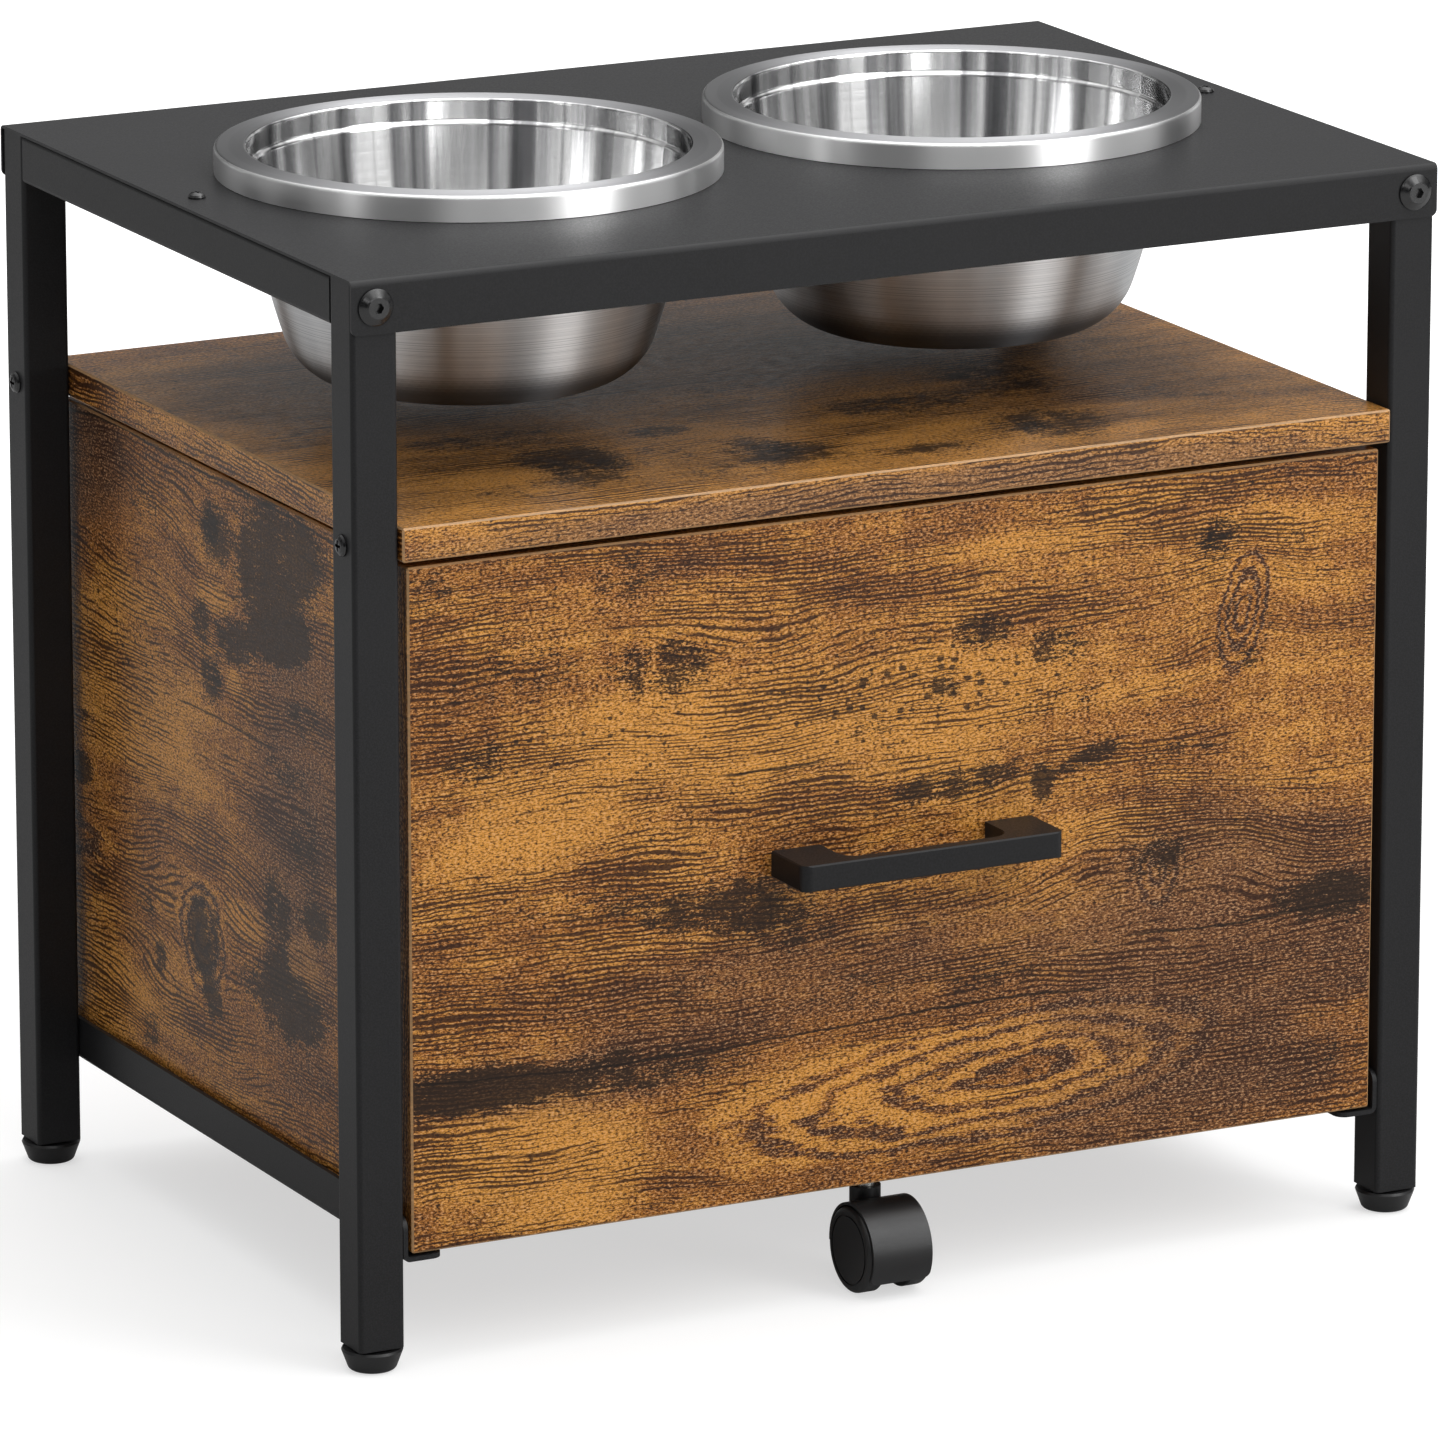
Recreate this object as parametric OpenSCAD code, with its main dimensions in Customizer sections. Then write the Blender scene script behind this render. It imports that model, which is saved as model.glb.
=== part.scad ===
// Elevated dog feeder: two lift-out steel bowls in a sheet steel top, on a tube frame
// that carries a shelf board and a storage drawer with a caster under its front.
// Millimetres, +Z up, the drawer opens towards -Y. The origin is on the floor, under the
// middle of the whole feeder. "Left" is -X, as seen by a person in front of the drawer.

/* [Frame] */
// Width over the outer faces of the legs
frame_w = 491; // [450:1:560]
// Depth over the front and rear faces of the legs
frame_d = 339; // [300:1:400]
// Height of the top plate above the floor
plate_top_z = 449; // [420:1:520]
// Side of the square steel tube
tube = 20; // [18:0.5:25]
// Wall of the steel tube
tube_wall = 1.2; // [1:0.1:1.6]
// Outer corner radius of the tube
tube_r = 2; // [1.8:0.1:3]

/* [Top plate] */
// Thickness of the sheet steel top
plate_t = 1.2; // [0.8:0.1:2]
// How far the top stands out past the legs' outer faces
plate_overhang = 0.5; // [0:0.1:2]
// Height of the front and rear flanges, from the top's upper face
flange_h = 22; // [19:0.5:30]
// Outer radius of the bend between the top and a flange
bend_r = 2.5; // [2.2:0.1:4]
// Radius of the flanges' lower corners
flange_corner_r = 3; // [1:0.5:6]
// Gap between a bowl's collar and the edge of its hole in the top
bowl_hole_gap = 1.5; // [0.5:0.1:3]
// Distance of the top's screws from the legs' outer faces
plate_screw_inset = 11.5; // [8:0.5:13]

/* [Bowls] */
// Diameter over the bowl's rolled rim
rim_d = 208.4; // [190:0.2:214]
// Height of the rim's skirt above the top
rim_h = 11; // [8:0.5:16]
// Width of the flat ring on the rim
rim_ring = 13.4; // [10:0.2:18]
// Depth of the collar inside the rim
collar_h = 8.5; // [5:0.5:9]
// Step from the collar in to the bowl's wall
collar_step = 1.6; // [1:0.1:3]
// Depth of the bowl below the top
bowl_drop = 86.7; // [70:0.1:100]
// Lean of the wall at its upper end, in degrees
wall_lean = 4; // [1:0.5:8]
// Radius of the wall's outward bulge
wall_bulge_r = 270; // [200:5:400]
// Radius between the wall and the flat base
base_r = 28; // [15:1:34]
// Thickness of the bowl's sheet steel
bowl_t = 0.8; // [0.6:0.1:1.2]
// Inner radius of the bend at the rim's outer edge
rim_bend_r = 0.8; // [0.4:0.1:1.5]
// Inner radius of the bend from the flat ring to the collar
ring_bend_r = 0.4; // [0.3:0.1:1]
// Gap between the two rims
rim_gap = 15.6; // [8:0.2:18]
// Gap between a rim's lower edge and the top
rim_seat = 0.2; // [0.1:0.1:0.5]

/* [Shelf board] */
// Thickness of the shelf board
shelf_t = 14; // [12:0.5:18]
// Air between the bowls' bases and the shelf board
bowl_air = 14.3; // [8:0.1:25]
// How far the shelf board's front edge stands out past the legs
shelf_proud = 2.4; // [0:0.1:6]
// How far the shelf board's rear edge lies inside the legs' rear faces
shelf_rear_set = 1; // [0:0.1:4]
// Gap between an end of the shelf board and the leg
shelf_end_gap = 0.5; // [0.2:0.1:1.5]

/* [Drawer rails] */
// Thickness of the steel angle
rail_t = 2; // [1.5:0.1:3]
// Height of the angle's upright flange
rail_h = 18.5; // [14:0.5:24]
// Width of the angle's level flange
rail_w = 18; // [15:0.5:21]
// Inner radius of the angle's bend
rail_bend_r = 1; // [0.5:0.1:1.3]
// Height of the angle's underside above the floor
rail_z = 45; // [43:0.5:60]
// Radius of the flanges' free corners
rail_corner_r = 5; // [2:0.5:8]
// Distance of the angle's ends from the legs' front and rear faces
rail_end_set = 1; // [0.5:0.1:4]
// Height of the stop that is bent up at the angle's rear end
stop_h = 14; // [8:0.5:20]

/* [Drawer] */
// Thickness of the drawer's front board
front_t = 15; // [12:0.5:18]
// Thickness of the drawer's side and back boards
side_t = 15; // [14:0.5:18]
// Thickness of the drawer's bottom board
bottom_t = 15; // [12:0.5:18]
// Gap between the drawer and each leg
drawer_side_gap = 3.9; // [3.6:0.1:6]
// Gap between the drawer's boards and the shelf board
drawer_top_gap = 3; // [1.5:0.1:6]
// Gap between the front board's lower edge and the rails' level flanges
front_lift = 1.2; // [0.6:0.1:2]
// Gap between the side boards' lower edges and the rails' level flanges
slide_gap = 0.3; // [0.2:0.1:0.6]
// Height of the bottom board's underside above the side boards' lower edges
bottom_lift = 2.5; // [1:0.1:6]
// How far the front board lies behind the legs' front faces
front_set = 1; // [0:0.1:3]
// Gap between the closed drawer and the stops
stop_gap = 1; // [0.5:0.1:3]
// Bevel along the edges of every board
arris = 0.8; // [0.3:0.1:1.5]

/* [Handle] */
// Length of the bar handle
handle_l = 120; // [110:1:140]
// Distance between the handle's screws
handle_pitch = 96; // [90:1:100]
// Height of the bar
handle_h = 11; // [9:0.5:14]
// How far the handle stands out from the drawer's front
handle_out = 28; // [24:0.5:36]
// Thickness of the grip, front to rear
grip_t = 5.5; // [4:0.5:8]
// Width of each post
post_w = 22; // [20:0.5:24]
// Radius of the handle's front corners
handle_corner_r = 4.5; // [2:0.5:8]
// Radius where the grip's rear face meets the posts
grip_fillet_r = 8; // [3:0.5:10]
// Bevel along the handle's edges
handle_bevel = 0.6; // [0.3:0.1:1]

/* [Caster] */
// Diameter of the caster's wheels
wheel_d = 36; // [32:0.5:37]
// Width of one wheel
wheel_w = 8.6; // [7:0.1:12]
// Thickness of the hood's web between the wheels
web_t = 12; // [12:0.2:14]
// Gap between the web and a wheel
wheel_side_gap = 0.4; // [0.2:0.1:0.6]
// Gap between the wheel's tread and the hood
tread_gap = 0.5; // [0.3:0.1:0.8]
// Wall of the hood over the wheels
hood_t = 1.2; // [1:0.1:1.6]
// How far each wheel stands out past the hood's side
wheel_proud = 1.4; // [0.5:0.1:2.5]
// Height of the hood's front lower edge above the floor
hood_low_z = 7; // [5:0.5:10]
// Distance from the swivel axis forward to the wheels' axle
trail = 14; // [12:0.5:16]
// Gap between the wheels and the floor
floor_gap = 0.3; // [0.2:0.1:0.5]
// Diameter of the hood's boss round the swivel pin
boss_d = 13; // [12.6:0.2:16]
// Height of the boss above the hood's drum
boss_rise = 2.8; // [1:0.1:4]
// Diameter of the swivel pin
pin_d = 8; // [6:0.5:8]
// Distance of the swivel axis behind the drawer's front board
pin_setback = 7; // [7:0.5:12]
// Distance of the caster to the left of the drawer's middle
caster_left = 5; // [0:0.5:20]
// Diameter of the wheels' axle
axle_d = 6; // [5:0.5:7]
// Radial running clearance of the pin and the axle
run_gap = 0.05; // [0.02:0.01:0.1]

/* [Feet] */
// Height of a levelling foot below its leg
foot_h = 10; // [8:0.5:14]
// Diameter of the foot's upper end
foot_top_d = 25; // [22:0.5:30]
// Diameter of the foot's lower end
foot_low_d = 20.5; // [18:0.5:22]
// Radius of the foot's lower edge
foot_edge_r = 2.5; // [1:0.5:4]
// Gap between the foot and its leg
foot_gap = 0.8; // [0.4:0.1:2]
// Diameter of the foot's threaded stud
stud_d = 8; // [6:0.5:10]
// Length of the stud above the foot
stud_l = 24; // [18:1:30]
// Length of the plug in the leg's lower end
plug_l = 16; // [10:1:24]

/* [Fasteners] */
// Diameter of the bolts through the flanges
bolt_d = 6; // [5:1:8]
// Diameter of those bolts' heads
bolt_head_d = 15; // [12:0.5:17]
// Height of those bolts' heads
bolt_head_h = 3; // [2.5:0.1:4]
// Length of those bolts under the head
bolt_l = 12; // [10:0.5:14]
// Width across the flats of the heads' hexagon sockets
bolt_hex = 4; // [3:0.5:5]
// Distance of the bolts below the top's upper face
bolt_drop = 11; // [9:0.5:12]
// Width across the flats of the welded nuts
nut_flats = 10; // [9:0.5:13]
// Thickness of the welded nuts
nut_t = 5; // [4:0.5:6]
// Diameter of the screws in the top
plate_screw_d = 3.9; // [3:0.1:4.5]
// Length of those screws under the head
plate_screw_l = 12; // [8:1:16]
// Diameter of those screws' heads
plate_screw_head_d = 7.2; // [6:0.2:8]
// Diameter of the screws through the legs into the shelf board
shelf_screw_d = 5; // [4:0.5:6]
// Diameter of those screws' heads
shelf_screw_head_d = 9; // [8:0.5:11]
// Length of those screws in the board
shelf_screw_bite = 28; // [20:1:40]
// Diameter of the drawer screws' thread
drawer_screw_d = 5; // [4:0.5:6]
// Diameter of the drawer screws' plain shoulder
drawer_shoulder_d = 7; // [6.5:0.1:8]
// Diameter of the drawer screws' heads
drawer_screw_head_d = 9.5; // [9:0.1:11]
// Length of the drawer screws in the inner board
drawer_screw_bite = 33; // [25:1:40]
// Diameter of the wooden dowels
dowel_d = 8; // [6:0.5:8]
// Length of the wooden dowels
dowel_l = 30; // [24:1:36]
// Depth of the dowels and cam bolts in the face of a board
joint_bite = 10; // [7:0.5:11]
// Diameter of the cam locks
cam_d = 15; // [12:0.5:16]
// Depth of the cam locks in the side boards
cam_h = 12.2; // [11.5:0.1:12.5]
// Distance from a joint's face to the cam locks' centres
cam_reach = 24; // [20:1:34]
// Diameter of the cam bolts
cam_bolt_d = 5; // [4:0.5:6]
// Height of the lower cam bolts above the side boards' lower edges
cam_low = 60; // [40:1:80]
// Distance of the upper cam bolts below the boards' upper edges
cam_high = 40; // [30:1:60]
// Height of the lower dowels above the side boards' lower edges
dowel_low = 100; // [95:1:125]
// Distance of the upper dowels below the boards' upper edges
dowel_high = 80; // [75:1:105]
// Distance of the drawer screws from the ends of the bottom board
screw_inset = 45; // [30:1:80]
// Diameter of the handle's screws
handle_screw_d = 4; // [3:0.5:5]
// Length of the handle's screws in a post
handle_screw_bite = 8; // [6:0.5:12]
// Clearance round a fixed pin, screw or plug in its hole
fit = 0.05; // [0.03:0.01:0.1]

/* [Hidden] */
$fn = 48;

// How far a cut runs past the face that it opens
over = 0.5;
// Clearance of a bolt or screw in a plain hole
loose = 0.5;
// Bevel at the tip of a bolt, screw or pin
tip = 0.6;

// Places along Y and Z that the whole feeder shares
bolt_reach = plate_t + bolt_head_h;
front_reach = max(handle_out - front_set, bolt_reach);
legs_front = -(frame_d + bolt_reach - front_reach) / 2;
legs_rear = legs_front + frame_d;
middle_y = (legs_front + legs_rear) / 2;
plate_low_z = plate_top_z - plate_t;
bolt_z = plate_top_z - bolt_drop;

// Legs
leg_x = frame_w / 2 - tube / 2;
leg_in_x = frame_w / 2 - tube;
plate_screw_x = frame_w / 2 - plate_screw_inset;
bend_in_r = bend_r - plate_t;

// Bowls: heights in the bowl's section are above the top plate
bowl_x = (rim_d + rim_gap) / 2;
collar_in_r = rim_d / 2 - rim_ring;
bowl_hole_r = collar_in_r + bowl_t + bowl_hole_gap;
rim_edge_r = bowl_t + rim_bend_r;
ring_edge_r = bowl_t + ring_bend_r;
step_turn = 60;
step_low_r = 0.75 * collar_step;
step_high_r = 1.25 * collar_step;
step_x = collar_in_r + (step_high_r - step_low_r) / 2;
step_z = rim_h - collar_h - (step_low_r + step_high_r) * sin(step_turn);
bulge_x = step_x - (step_high_r + wall_bulge_r - bowl_t) * cos(wall_lean);
bulge_z = step_z + (step_high_r + wall_bulge_r - bowl_t) * sin(wall_lean);
wall_end = asin((bulge_z + bowl_drop - base_r) / (wall_bulge_r - base_r));
base_x = bulge_x + (wall_bulge_r - base_r) * cos(wall_end);

// Shelf board
shelf_z = plate_top_z - bowl_drop - bowl_air - shelf_t;
shelf_l = frame_w - 2 * (tube + shelf_end_gap);
shelf_screw_z = shelf_z + shelf_t / 2;
shelf_screw_head_h = 2.2;
plate_screw_head_h = 2.4;

// Drawer
rail_top_z = rail_z + rail_t;
rail_l = frame_d - 2 * rail_end_set;
drawer_x = frame_w / 2 - tube - drawer_side_gap;
side_z = rail_top_z + slide_gap;
front_z = rail_top_z + front_lift;
board_top_z = shelf_z - drawer_top_gap;
front_y = legs_front + front_set;
inner_y = front_y + front_t;
drawer_rear = legs_rear - rail_end_set - rail_t - stop_gap;
side_l = drawer_rear - inner_y;
back_y = drawer_rear - side_t;
bottom_z = side_z + bottom_lift;
bottom_w = 2 * (drawer_x - side_t);
side_mid_x = drawer_x - side_t / 2;
cam_z = [side_z + cam_low, board_top_z - cam_high];
dowel_z = [side_z + dowel_low, board_top_z - dowel_high];
cam_head_extra = 1.6;
cam_head_d = cam_bolt_d + cam_head_extra;
cam_neck_r = 0.32 * cam_bolt_d;
cam_head_h = 2;
cam_neck_l = 5;
cam_recess_depth = 2.5;
dowel_bevel = 1;
bottom_screw_y = [inner_y + screw_inset, (inner_y + back_y) / 2, back_y - screw_inset];
bottom_screw_z = bottom_z + bottom_t / 2;
screw_head_h = 3;
screw_hex = 4;
screw_hex_depth = 2.2;
// Height of the cones at a drawer screw's tip and shoulder
screw_cone = 1.5;
handle_z = (front_z + board_top_z) / 2;
handle_head_h = 2.6;

// Caster
wheel_r = wheel_d / 2;
axle_z = wheel_r + floor_gap;
cavity_r = wheel_r + tread_gap;
hood_r = cavity_r + hood_t;
wheel_in_x = web_t / 2 + wheel_side_gap;
hood_w = 2 * (wheel_in_x + wheel_w - wheel_proud);
hood_corner_r = 3;
swivel_x = -caster_left;
swivel_y = inner_y + pin_setback;
axle_y = swivel_y - trail;
boss_top_z = axle_z + hood_r + boss_rise;
// Height of the pin's lower end above the axle's centre line
pin_lift = 1;
pin_low_z = axle_z + pin_lift;
pin_seat = 0.1;
pin_collar_h = 3;
boss_floor = 1.8;
nut_flange_t = 1.5;
nut_wall = 1;
nut_barrel_d = pin_d + 2 * nut_wall;
// Gap between the pin's collar and the drawer's front board
collar_gap = 0.7;
collar_r = pin_setback - collar_gap;
// Gap between the nut's lower end and the underside of its board
nut_gap = 1;
// Wall of a wheel's hub, tread and face, and its small details
wheel_wall = 3;
wheel_bevel = 0.5;
wheel_edge_r = 2;
groove_inset = 3.2;
groove_w = 0.8;
groove_depth = 0.5;
// Cap over a wheel's blind bore, the bore's depth, and the air at the axle's end in it
wheel_cap_t = 1.8;
axle_in_wheel = wheel_w - wheel_cap_t;
axle_end_gap = 0.3;

// Feet
foot_bevel = 0.5;
// Lean of a foot's side, in degrees
foot_lean = 12;

// Points on an arc about (x, z), from angle a0 to angle a1, without the first `skip` points
function arc(x, z, r, a0, a1, n, skip = 0) =
    [for (i = [skip:n]) let (a = a0 + (a1 - a0) * i / n) [x + r * cos(a), z + r * sin(a)]];

// One face of the bowl's sheet, from the skirt's lower edge over the rim and down to the
// middle of the base: the face seen from above for u = 0, the hidden one for u = bowl_t
function bowl_face(u) = concat(
    [[rim_d / 2 - u, rim_seat]],
    arc(rim_d / 2 - rim_edge_r, rim_h - rim_edge_r, rim_edge_r - u, 0, 90, 6),
    arc(collar_in_r + ring_edge_r, rim_h - ring_edge_r, ring_edge_r - u, 90, 180, 6),
    arc(collar_in_r - step_low_r, rim_h - collar_h, step_low_r + u, 0, -step_turn, 4),
    arc(step_x, step_z, step_high_r - u, 180 - step_turn, 180 - wall_lean, 4, 1),
    arc(bulge_x, bulge_z, wall_bulge_r - bowl_t + u, -wall_lean, -wall_end, 16, 1),
    arc(base_x, base_r - bowl_drop, base_r - bowl_t + u, -wall_end, -90, 16, 1),
    [[0, bowl_t - bowl_drop - u]]
);

function reversed(list) = [for (i = [len(list) - 1:-1:0]) list[i]];

// Middle of the leg at the front (sy = -1) or the rear (sy = 1)
function leg_y(sy) = sy < 0 ? legs_front + tube / 2 : legs_rear - tube / 2;

// Flat shapes, centred

module rounded_rect(w, h, r) {
    square([w - 2 * r, h], center = true);
    square([w, h - 2 * r], center = true);
    for (x = [-1, 1], y = [-1, 1])
        translate([x * (w / 2 - r), y * (h / 2 - r)])
            circle(r = r);
}

module bevelled_rect(w, h, c) {
    x = w / 2;
    y = h / 2;
    polygon([
        [x - c, y], [x, y - c], [x, c - y], [x - c, -y],
        [c - x, -y], [-x, c - y], [-x, y - c], [c - x, y]
    ]);
}

module tube_section() {
    inside = tube - 2 * tube_wall;
    difference() {
        rounded_rect(tube, tube, tube_r);
        rounded_rect(inside, inside, tube_r - tube_wall);
    }
}

// What is cut away to round a corner that lies at the origin and fills +X and +Y
module corner_cut(r) {
    difference() {
        translate([-over, -over])
            square(r + over);
        translate([r, r])
            circle(r = r);
    }
}

// Solids that the pieces share

// Board with bevelled edges, its low corner at the origin
module board(w, d, h) {
    translate([w / 2, d / 2, h / 2])
        intersection() {
            linear_extrude(h, center = true)
                bevelled_rect(w, d, arris);
            rotate([90, 0, 0])
                linear_extrude(d, center = true)
                    bevelled_rect(w, h, arris);
            rotate([90, 0, 90])
                linear_extrude(w, center = true)
                    bevelled_rect(d, h, arris);
        }
}

module x_cylinder(d, l) {
    rotate([0, 90, 0])
        cylinder(d = d, h = l);
}

module y_cylinder(d, l) {
    rotate([-90, 0, 0])
        cylinder(d = d, h = l);
}

// Cross recess in a head whose top is at z = 0
module cross_recess(size, depth) {
    for (a = [0, 90])
        rotate([0, 0, a])
            translate([-size / 2, -size / 8, -depth])
                cube([size, size / 4, depth + over]);
}

// Domed screw: its head stands on z = 0 and its shank points down
module domed_screw(head_d, head_h, shank_d, shank_l) {
    difference() {
        rotate_extrude()
            polygon([
                [0, -shank_l], [shank_d / 2 - tip, -shank_l], [shank_d / 2, tip - shank_l],
                [shank_d / 2, 0], [head_d / 2, 0], [head_d / 2, 0.25 * head_h],
                [0.44 * head_d, 0.6 * head_h], [0.32 * head_d, 0.9 * head_h],
                [0.2 * head_d, head_h], [0, head_h]
            ]);
        translate([0, 0, head_h])
            cross_recess(0.5 * head_d, 0.6 * head_h);
    }
}

// Turns what stands on z = 0 so that it stands on a face seen from -X (sx = -1) or +X
module face_x(sx) {
    rotate([0, sx * 90, 0])
        children();
}

// Turns what stands on z = 0 so that it stands on a face seen from -Y (sy = -1) or +Y
module face_y(sy) {
    rotate([-sy * 90, 0, 0])
        children();
}

// Frame

module leg(sx, sy) {
    color("#2e2e2e")
        difference() {
            translate([sx * leg_x, leg_y(sy), foot_h])
                linear_extrude(plate_low_z - foot_h)
                    tube_section();
            translate([sx * leg_x, leg_y(sy) + sy * (tube / 2 + over), bolt_z])
                face_y(-sy)
                    cylinder(d = bolt_d + loose, h = tube_wall + 2 * over);
            translate([sx * leg_x - tube / 2 - over, leg_y(sy), shelf_screw_z])
                x_cylinder(shelf_screw_d + 2 * fit, tube + 2 * over);
            translate([sx * leg_x, leg_y(sy) + sy * tube / 2, plate_low_z])
                rotate([-90, 0, -sy * 90])
                    linear_extrude(tube + 2 * over, center = true)
                        corner_cut(bend_in_r + fit);
        }
}

module top_rail(sx) {
    color("#2a2a2a")
        difference() {
            translate([sx * leg_x, middle_y, plate_low_z - tube / 2])
                rotate([90, 0, 0])
                    linear_extrude(frame_d - 2 * tube, center = true)
                        tube_section();
            translate([sx * plate_screw_x, middle_y, plate_low_z - tube_wall - over])
                cylinder(d = plate_screw_d + 2 * fit, h = tube_wall + 2 * over);
        }
}

// Steel angle that a side of the drawer slides on, for the left side
module drawer_rail() {
    outer_r = rail_t + rail_bend_r;
    color("#2a2a2a")
        translate([-leg_in_x, legs_front + rail_end_set, rail_z]) {
            difference() {
                translate([0, rail_l, 0])
                    rotate([90, 0, 0])
                        linear_extrude(rail_l) {
                            translate([0, outer_r])
                                square([rail_t, rail_h - outer_r]);
                            translate([outer_r, 0])
                                square([rail_w - outer_r, rail_t]);
                            difference() {
                                intersection() {
                                    translate([outer_r, outer_r])
                                        circle(r = outer_r);
                                    square(outer_r);
                                }
                                translate([outer_r, outer_r])
                                    circle(r = rail_bend_r);
                            }
                        }
                translate([-over, 0, rail_h])
                    rotate([0, 90, 0])
                        linear_extrude(rail_t + 2 * over)
                            corner_cut(rail_corner_r);
                translate([rail_w, 0, -over])
                    linear_extrude(rail_t + 2 * over)
                        mirror([1, 0, 0])
                            corner_cut(rail_corner_r);
            }
            translate([outer_r, rail_l - rail_t, 0])
                cube([rail_w - outer_r, rail_t, stop_h]);
        }
}

module top_plate() {
    half_d = frame_d / 2 + plate_t;
    plate_w = frame_w + 2 * plate_overhang;
    color("#3a3a3a")
        translate([0, middle_y, plate_top_z])
            difference() {
                rotate([90, 0, 90])
                    linear_extrude(plate_w, center = true) {
                        translate([bend_r - half_d, -plate_t])
                            square([2 * (half_d - bend_r), plate_t]);
                        for (m = [0, 1])
                            mirror([m, 0]) {
                                translate([half_d - plate_t, -flange_h])
                                    square([plate_t, flange_h - bend_r]);
                                translate([half_d - bend_r, -bend_r])
                                    difference() {
                                        intersection() {
                                            circle(r = bend_r);
                                            square(bend_r);
                                        }
                                        circle(r = bend_in_r);
                                    }
                            }
                    }
                for (sx = [-1, 1]) {
                    translate([sx * bowl_x, 0, -plate_t - over])
                        cylinder(r = bowl_hole_r, h = plate_t + 2 * over, $fn = 96);
                    translate([sx * (frame_w / 2 - plate_screw_inset), 0, -plate_t - over])
                        cylinder(d = plate_screw_d + loose, h = plate_t + 2 * over);
                    translate([sx * leg_x, -half_d - over, -bolt_drop])
                        y_cylinder(bolt_d + loose, 2 * (half_d + over));
                    translate([sx * plate_w / 2, 0, -flange_h])
                        mirror([sx > 0 ? 1 : 0, 0, 0])
                            rotate([90, 0, 0])
                                linear_extrude(2 * (half_d + over), center = true)
                                    corner_cut(flange_corner_r);
                }
            }
}

module flange_bolts() {
    socket_depth = 0.7 * bolt_head_h;
    color("#1c1c1c")
        for (sx = [-1, 1], sy = [-1, 1])
            translate([sx * leg_x, leg_y(sy) + sy * (tube / 2 + plate_t), bolt_z])
                face_y(sy)
                    difference() {
                        rotate_extrude()
                            polygon([
                                [0, -bolt_l], [bolt_d / 2 - tip, -bolt_l],
                                [bolt_d / 2, tip - bolt_l], [bolt_d / 2, 0],
                                [bolt_head_d / 2, 0], [bolt_head_d / 2, 0.25 * bolt_head_h],
                                [0.46 * bolt_head_d, 0.42 * bolt_head_h],
                                [0.32 * bolt_head_d, 0.9 * bolt_head_h],
                                [0.28 * bolt_head_d, bolt_head_h], [0, bolt_head_h]
                            ]);
                        translate([0, 0, bolt_head_h - socket_depth])
                            cylinder(d = bolt_hex / cos(30), h = socket_depth + over, $fn = 6);
                    }
}

module weld_nuts() {
    color("#8a8a86")
        for (sx = [-1, 1], sy = [-1, 1])
            translate([sx * leg_x, leg_y(sy) + sy * (tube / 2 - tube_wall), bolt_z])
                face_y(-sy)
                    difference() {
                        cylinder(d = nut_flats / cos(30), h = nut_t, $fn = 6);
                        translate([0, 0, -over])
                            cylinder(d = bolt_d + 2 * fit, h = nut_t + 2 * over);
                    }
}

module plate_screws() {
    color("#1c1c1c")
        for (sx = [-1, 1])
            translate([sx * plate_screw_x, middle_y, plate_top_z])
                domed_screw(plate_screw_head_d, plate_screw_head_h, plate_screw_d, plate_screw_l);
}

module shelf_board() {
    hole_l = shelf_screw_bite + 2 * over;
    color("#8b5a2b")
        difference() {
            translate([-shelf_l / 2, legs_front - shelf_proud, shelf_z])
                board(shelf_l, frame_d + shelf_proud - shelf_rear_set, shelf_t);
            for (sx = [-1, 1], sy = [-1, 1])
                translate([sx * (shelf_l / 2 + over), leg_y(sy), shelf_screw_z])
                    face_x(-sx)
                        cylinder(d = shelf_screw_d + 2 * fit, h = hole_l);
        }
}

module shelf_screws() {
    color("#1c1c1c")
        for (sx = [-1, 1], sy = [-1, 1])
            translate([sx * frame_w / 2, leg_y(sy), shelf_screw_z])
                face_x(sx)
                    domed_screw(shelf_screw_head_d, shelf_screw_head_h, shelf_screw_d,
                        tube + shelf_end_gap + shelf_screw_bite);
}

// Feet

module leg_plugs() {
    plug_w = tube - 2 * (tube_wall + fit);
    color("#202020")
        for (sx = [-1, 1], sy = [-1, 1])
            translate([sx * leg_x, leg_y(sy), foot_h])
                difference() {
                    linear_extrude(plug_l)
                        rounded_rect(plug_w, plug_w, tube_r - tube_wall);
                    translate([0, 0, -over])
                        cylinder(d = stud_d + 2 * run_gap, h = plug_l + 2 * over);
                }
}

module foot(sx, sy) {
    top_z = foot_h - foot_gap;
    color("#181818")
        translate([sx * leg_x, leg_y(sy), 0])
            rotate_extrude()
                polygon(concat(
                    [[0, 0]],
                    arc(foot_low_d / 2 - foot_edge_r, foot_edge_r, foot_edge_r, -90, -foot_lean, 6),
                    [[foot_top_d / 2, top_z - 2 * foot_bevel]],
                    [[foot_top_d / 2 - foot_bevel, top_z]],
                    [[stud_d / 2, top_z], [stud_d / 2, top_z + stud_l], [0, top_z + stud_l]]
                ));
}

// Bowls

module bowl(sx) {
    color("#c9cbcc")
        translate([sx * bowl_x, middle_y, plate_top_z])
            rotate_extrude($fn = 96)
                polygon(concat(bowl_face(0), reversed(bowl_face(bowl_t))));
}

// Drawer. The front, sides and back are joined by cam bolts, cam locks and dowels. Each
// joint is drawn in its own frame: one board lies at -Y, and the end of the other at +Y
// with its middle at x = 0 and its inner face towards +X.

module both_sides() {
    for (m = [0, 1])
        mirror([m, 0, 0])
            children();
}

// Joint of the front board and the left side board
module front_joint() {
    translate([-side_mid_x, inner_y, 0])
        children();
}

// Joint of the left side board and the back board
module back_joint() {
    translate([side_t - drawer_x, back_y + side_t / 2, 0])
        rotate([0, 0, -90])
            children();
}

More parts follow.
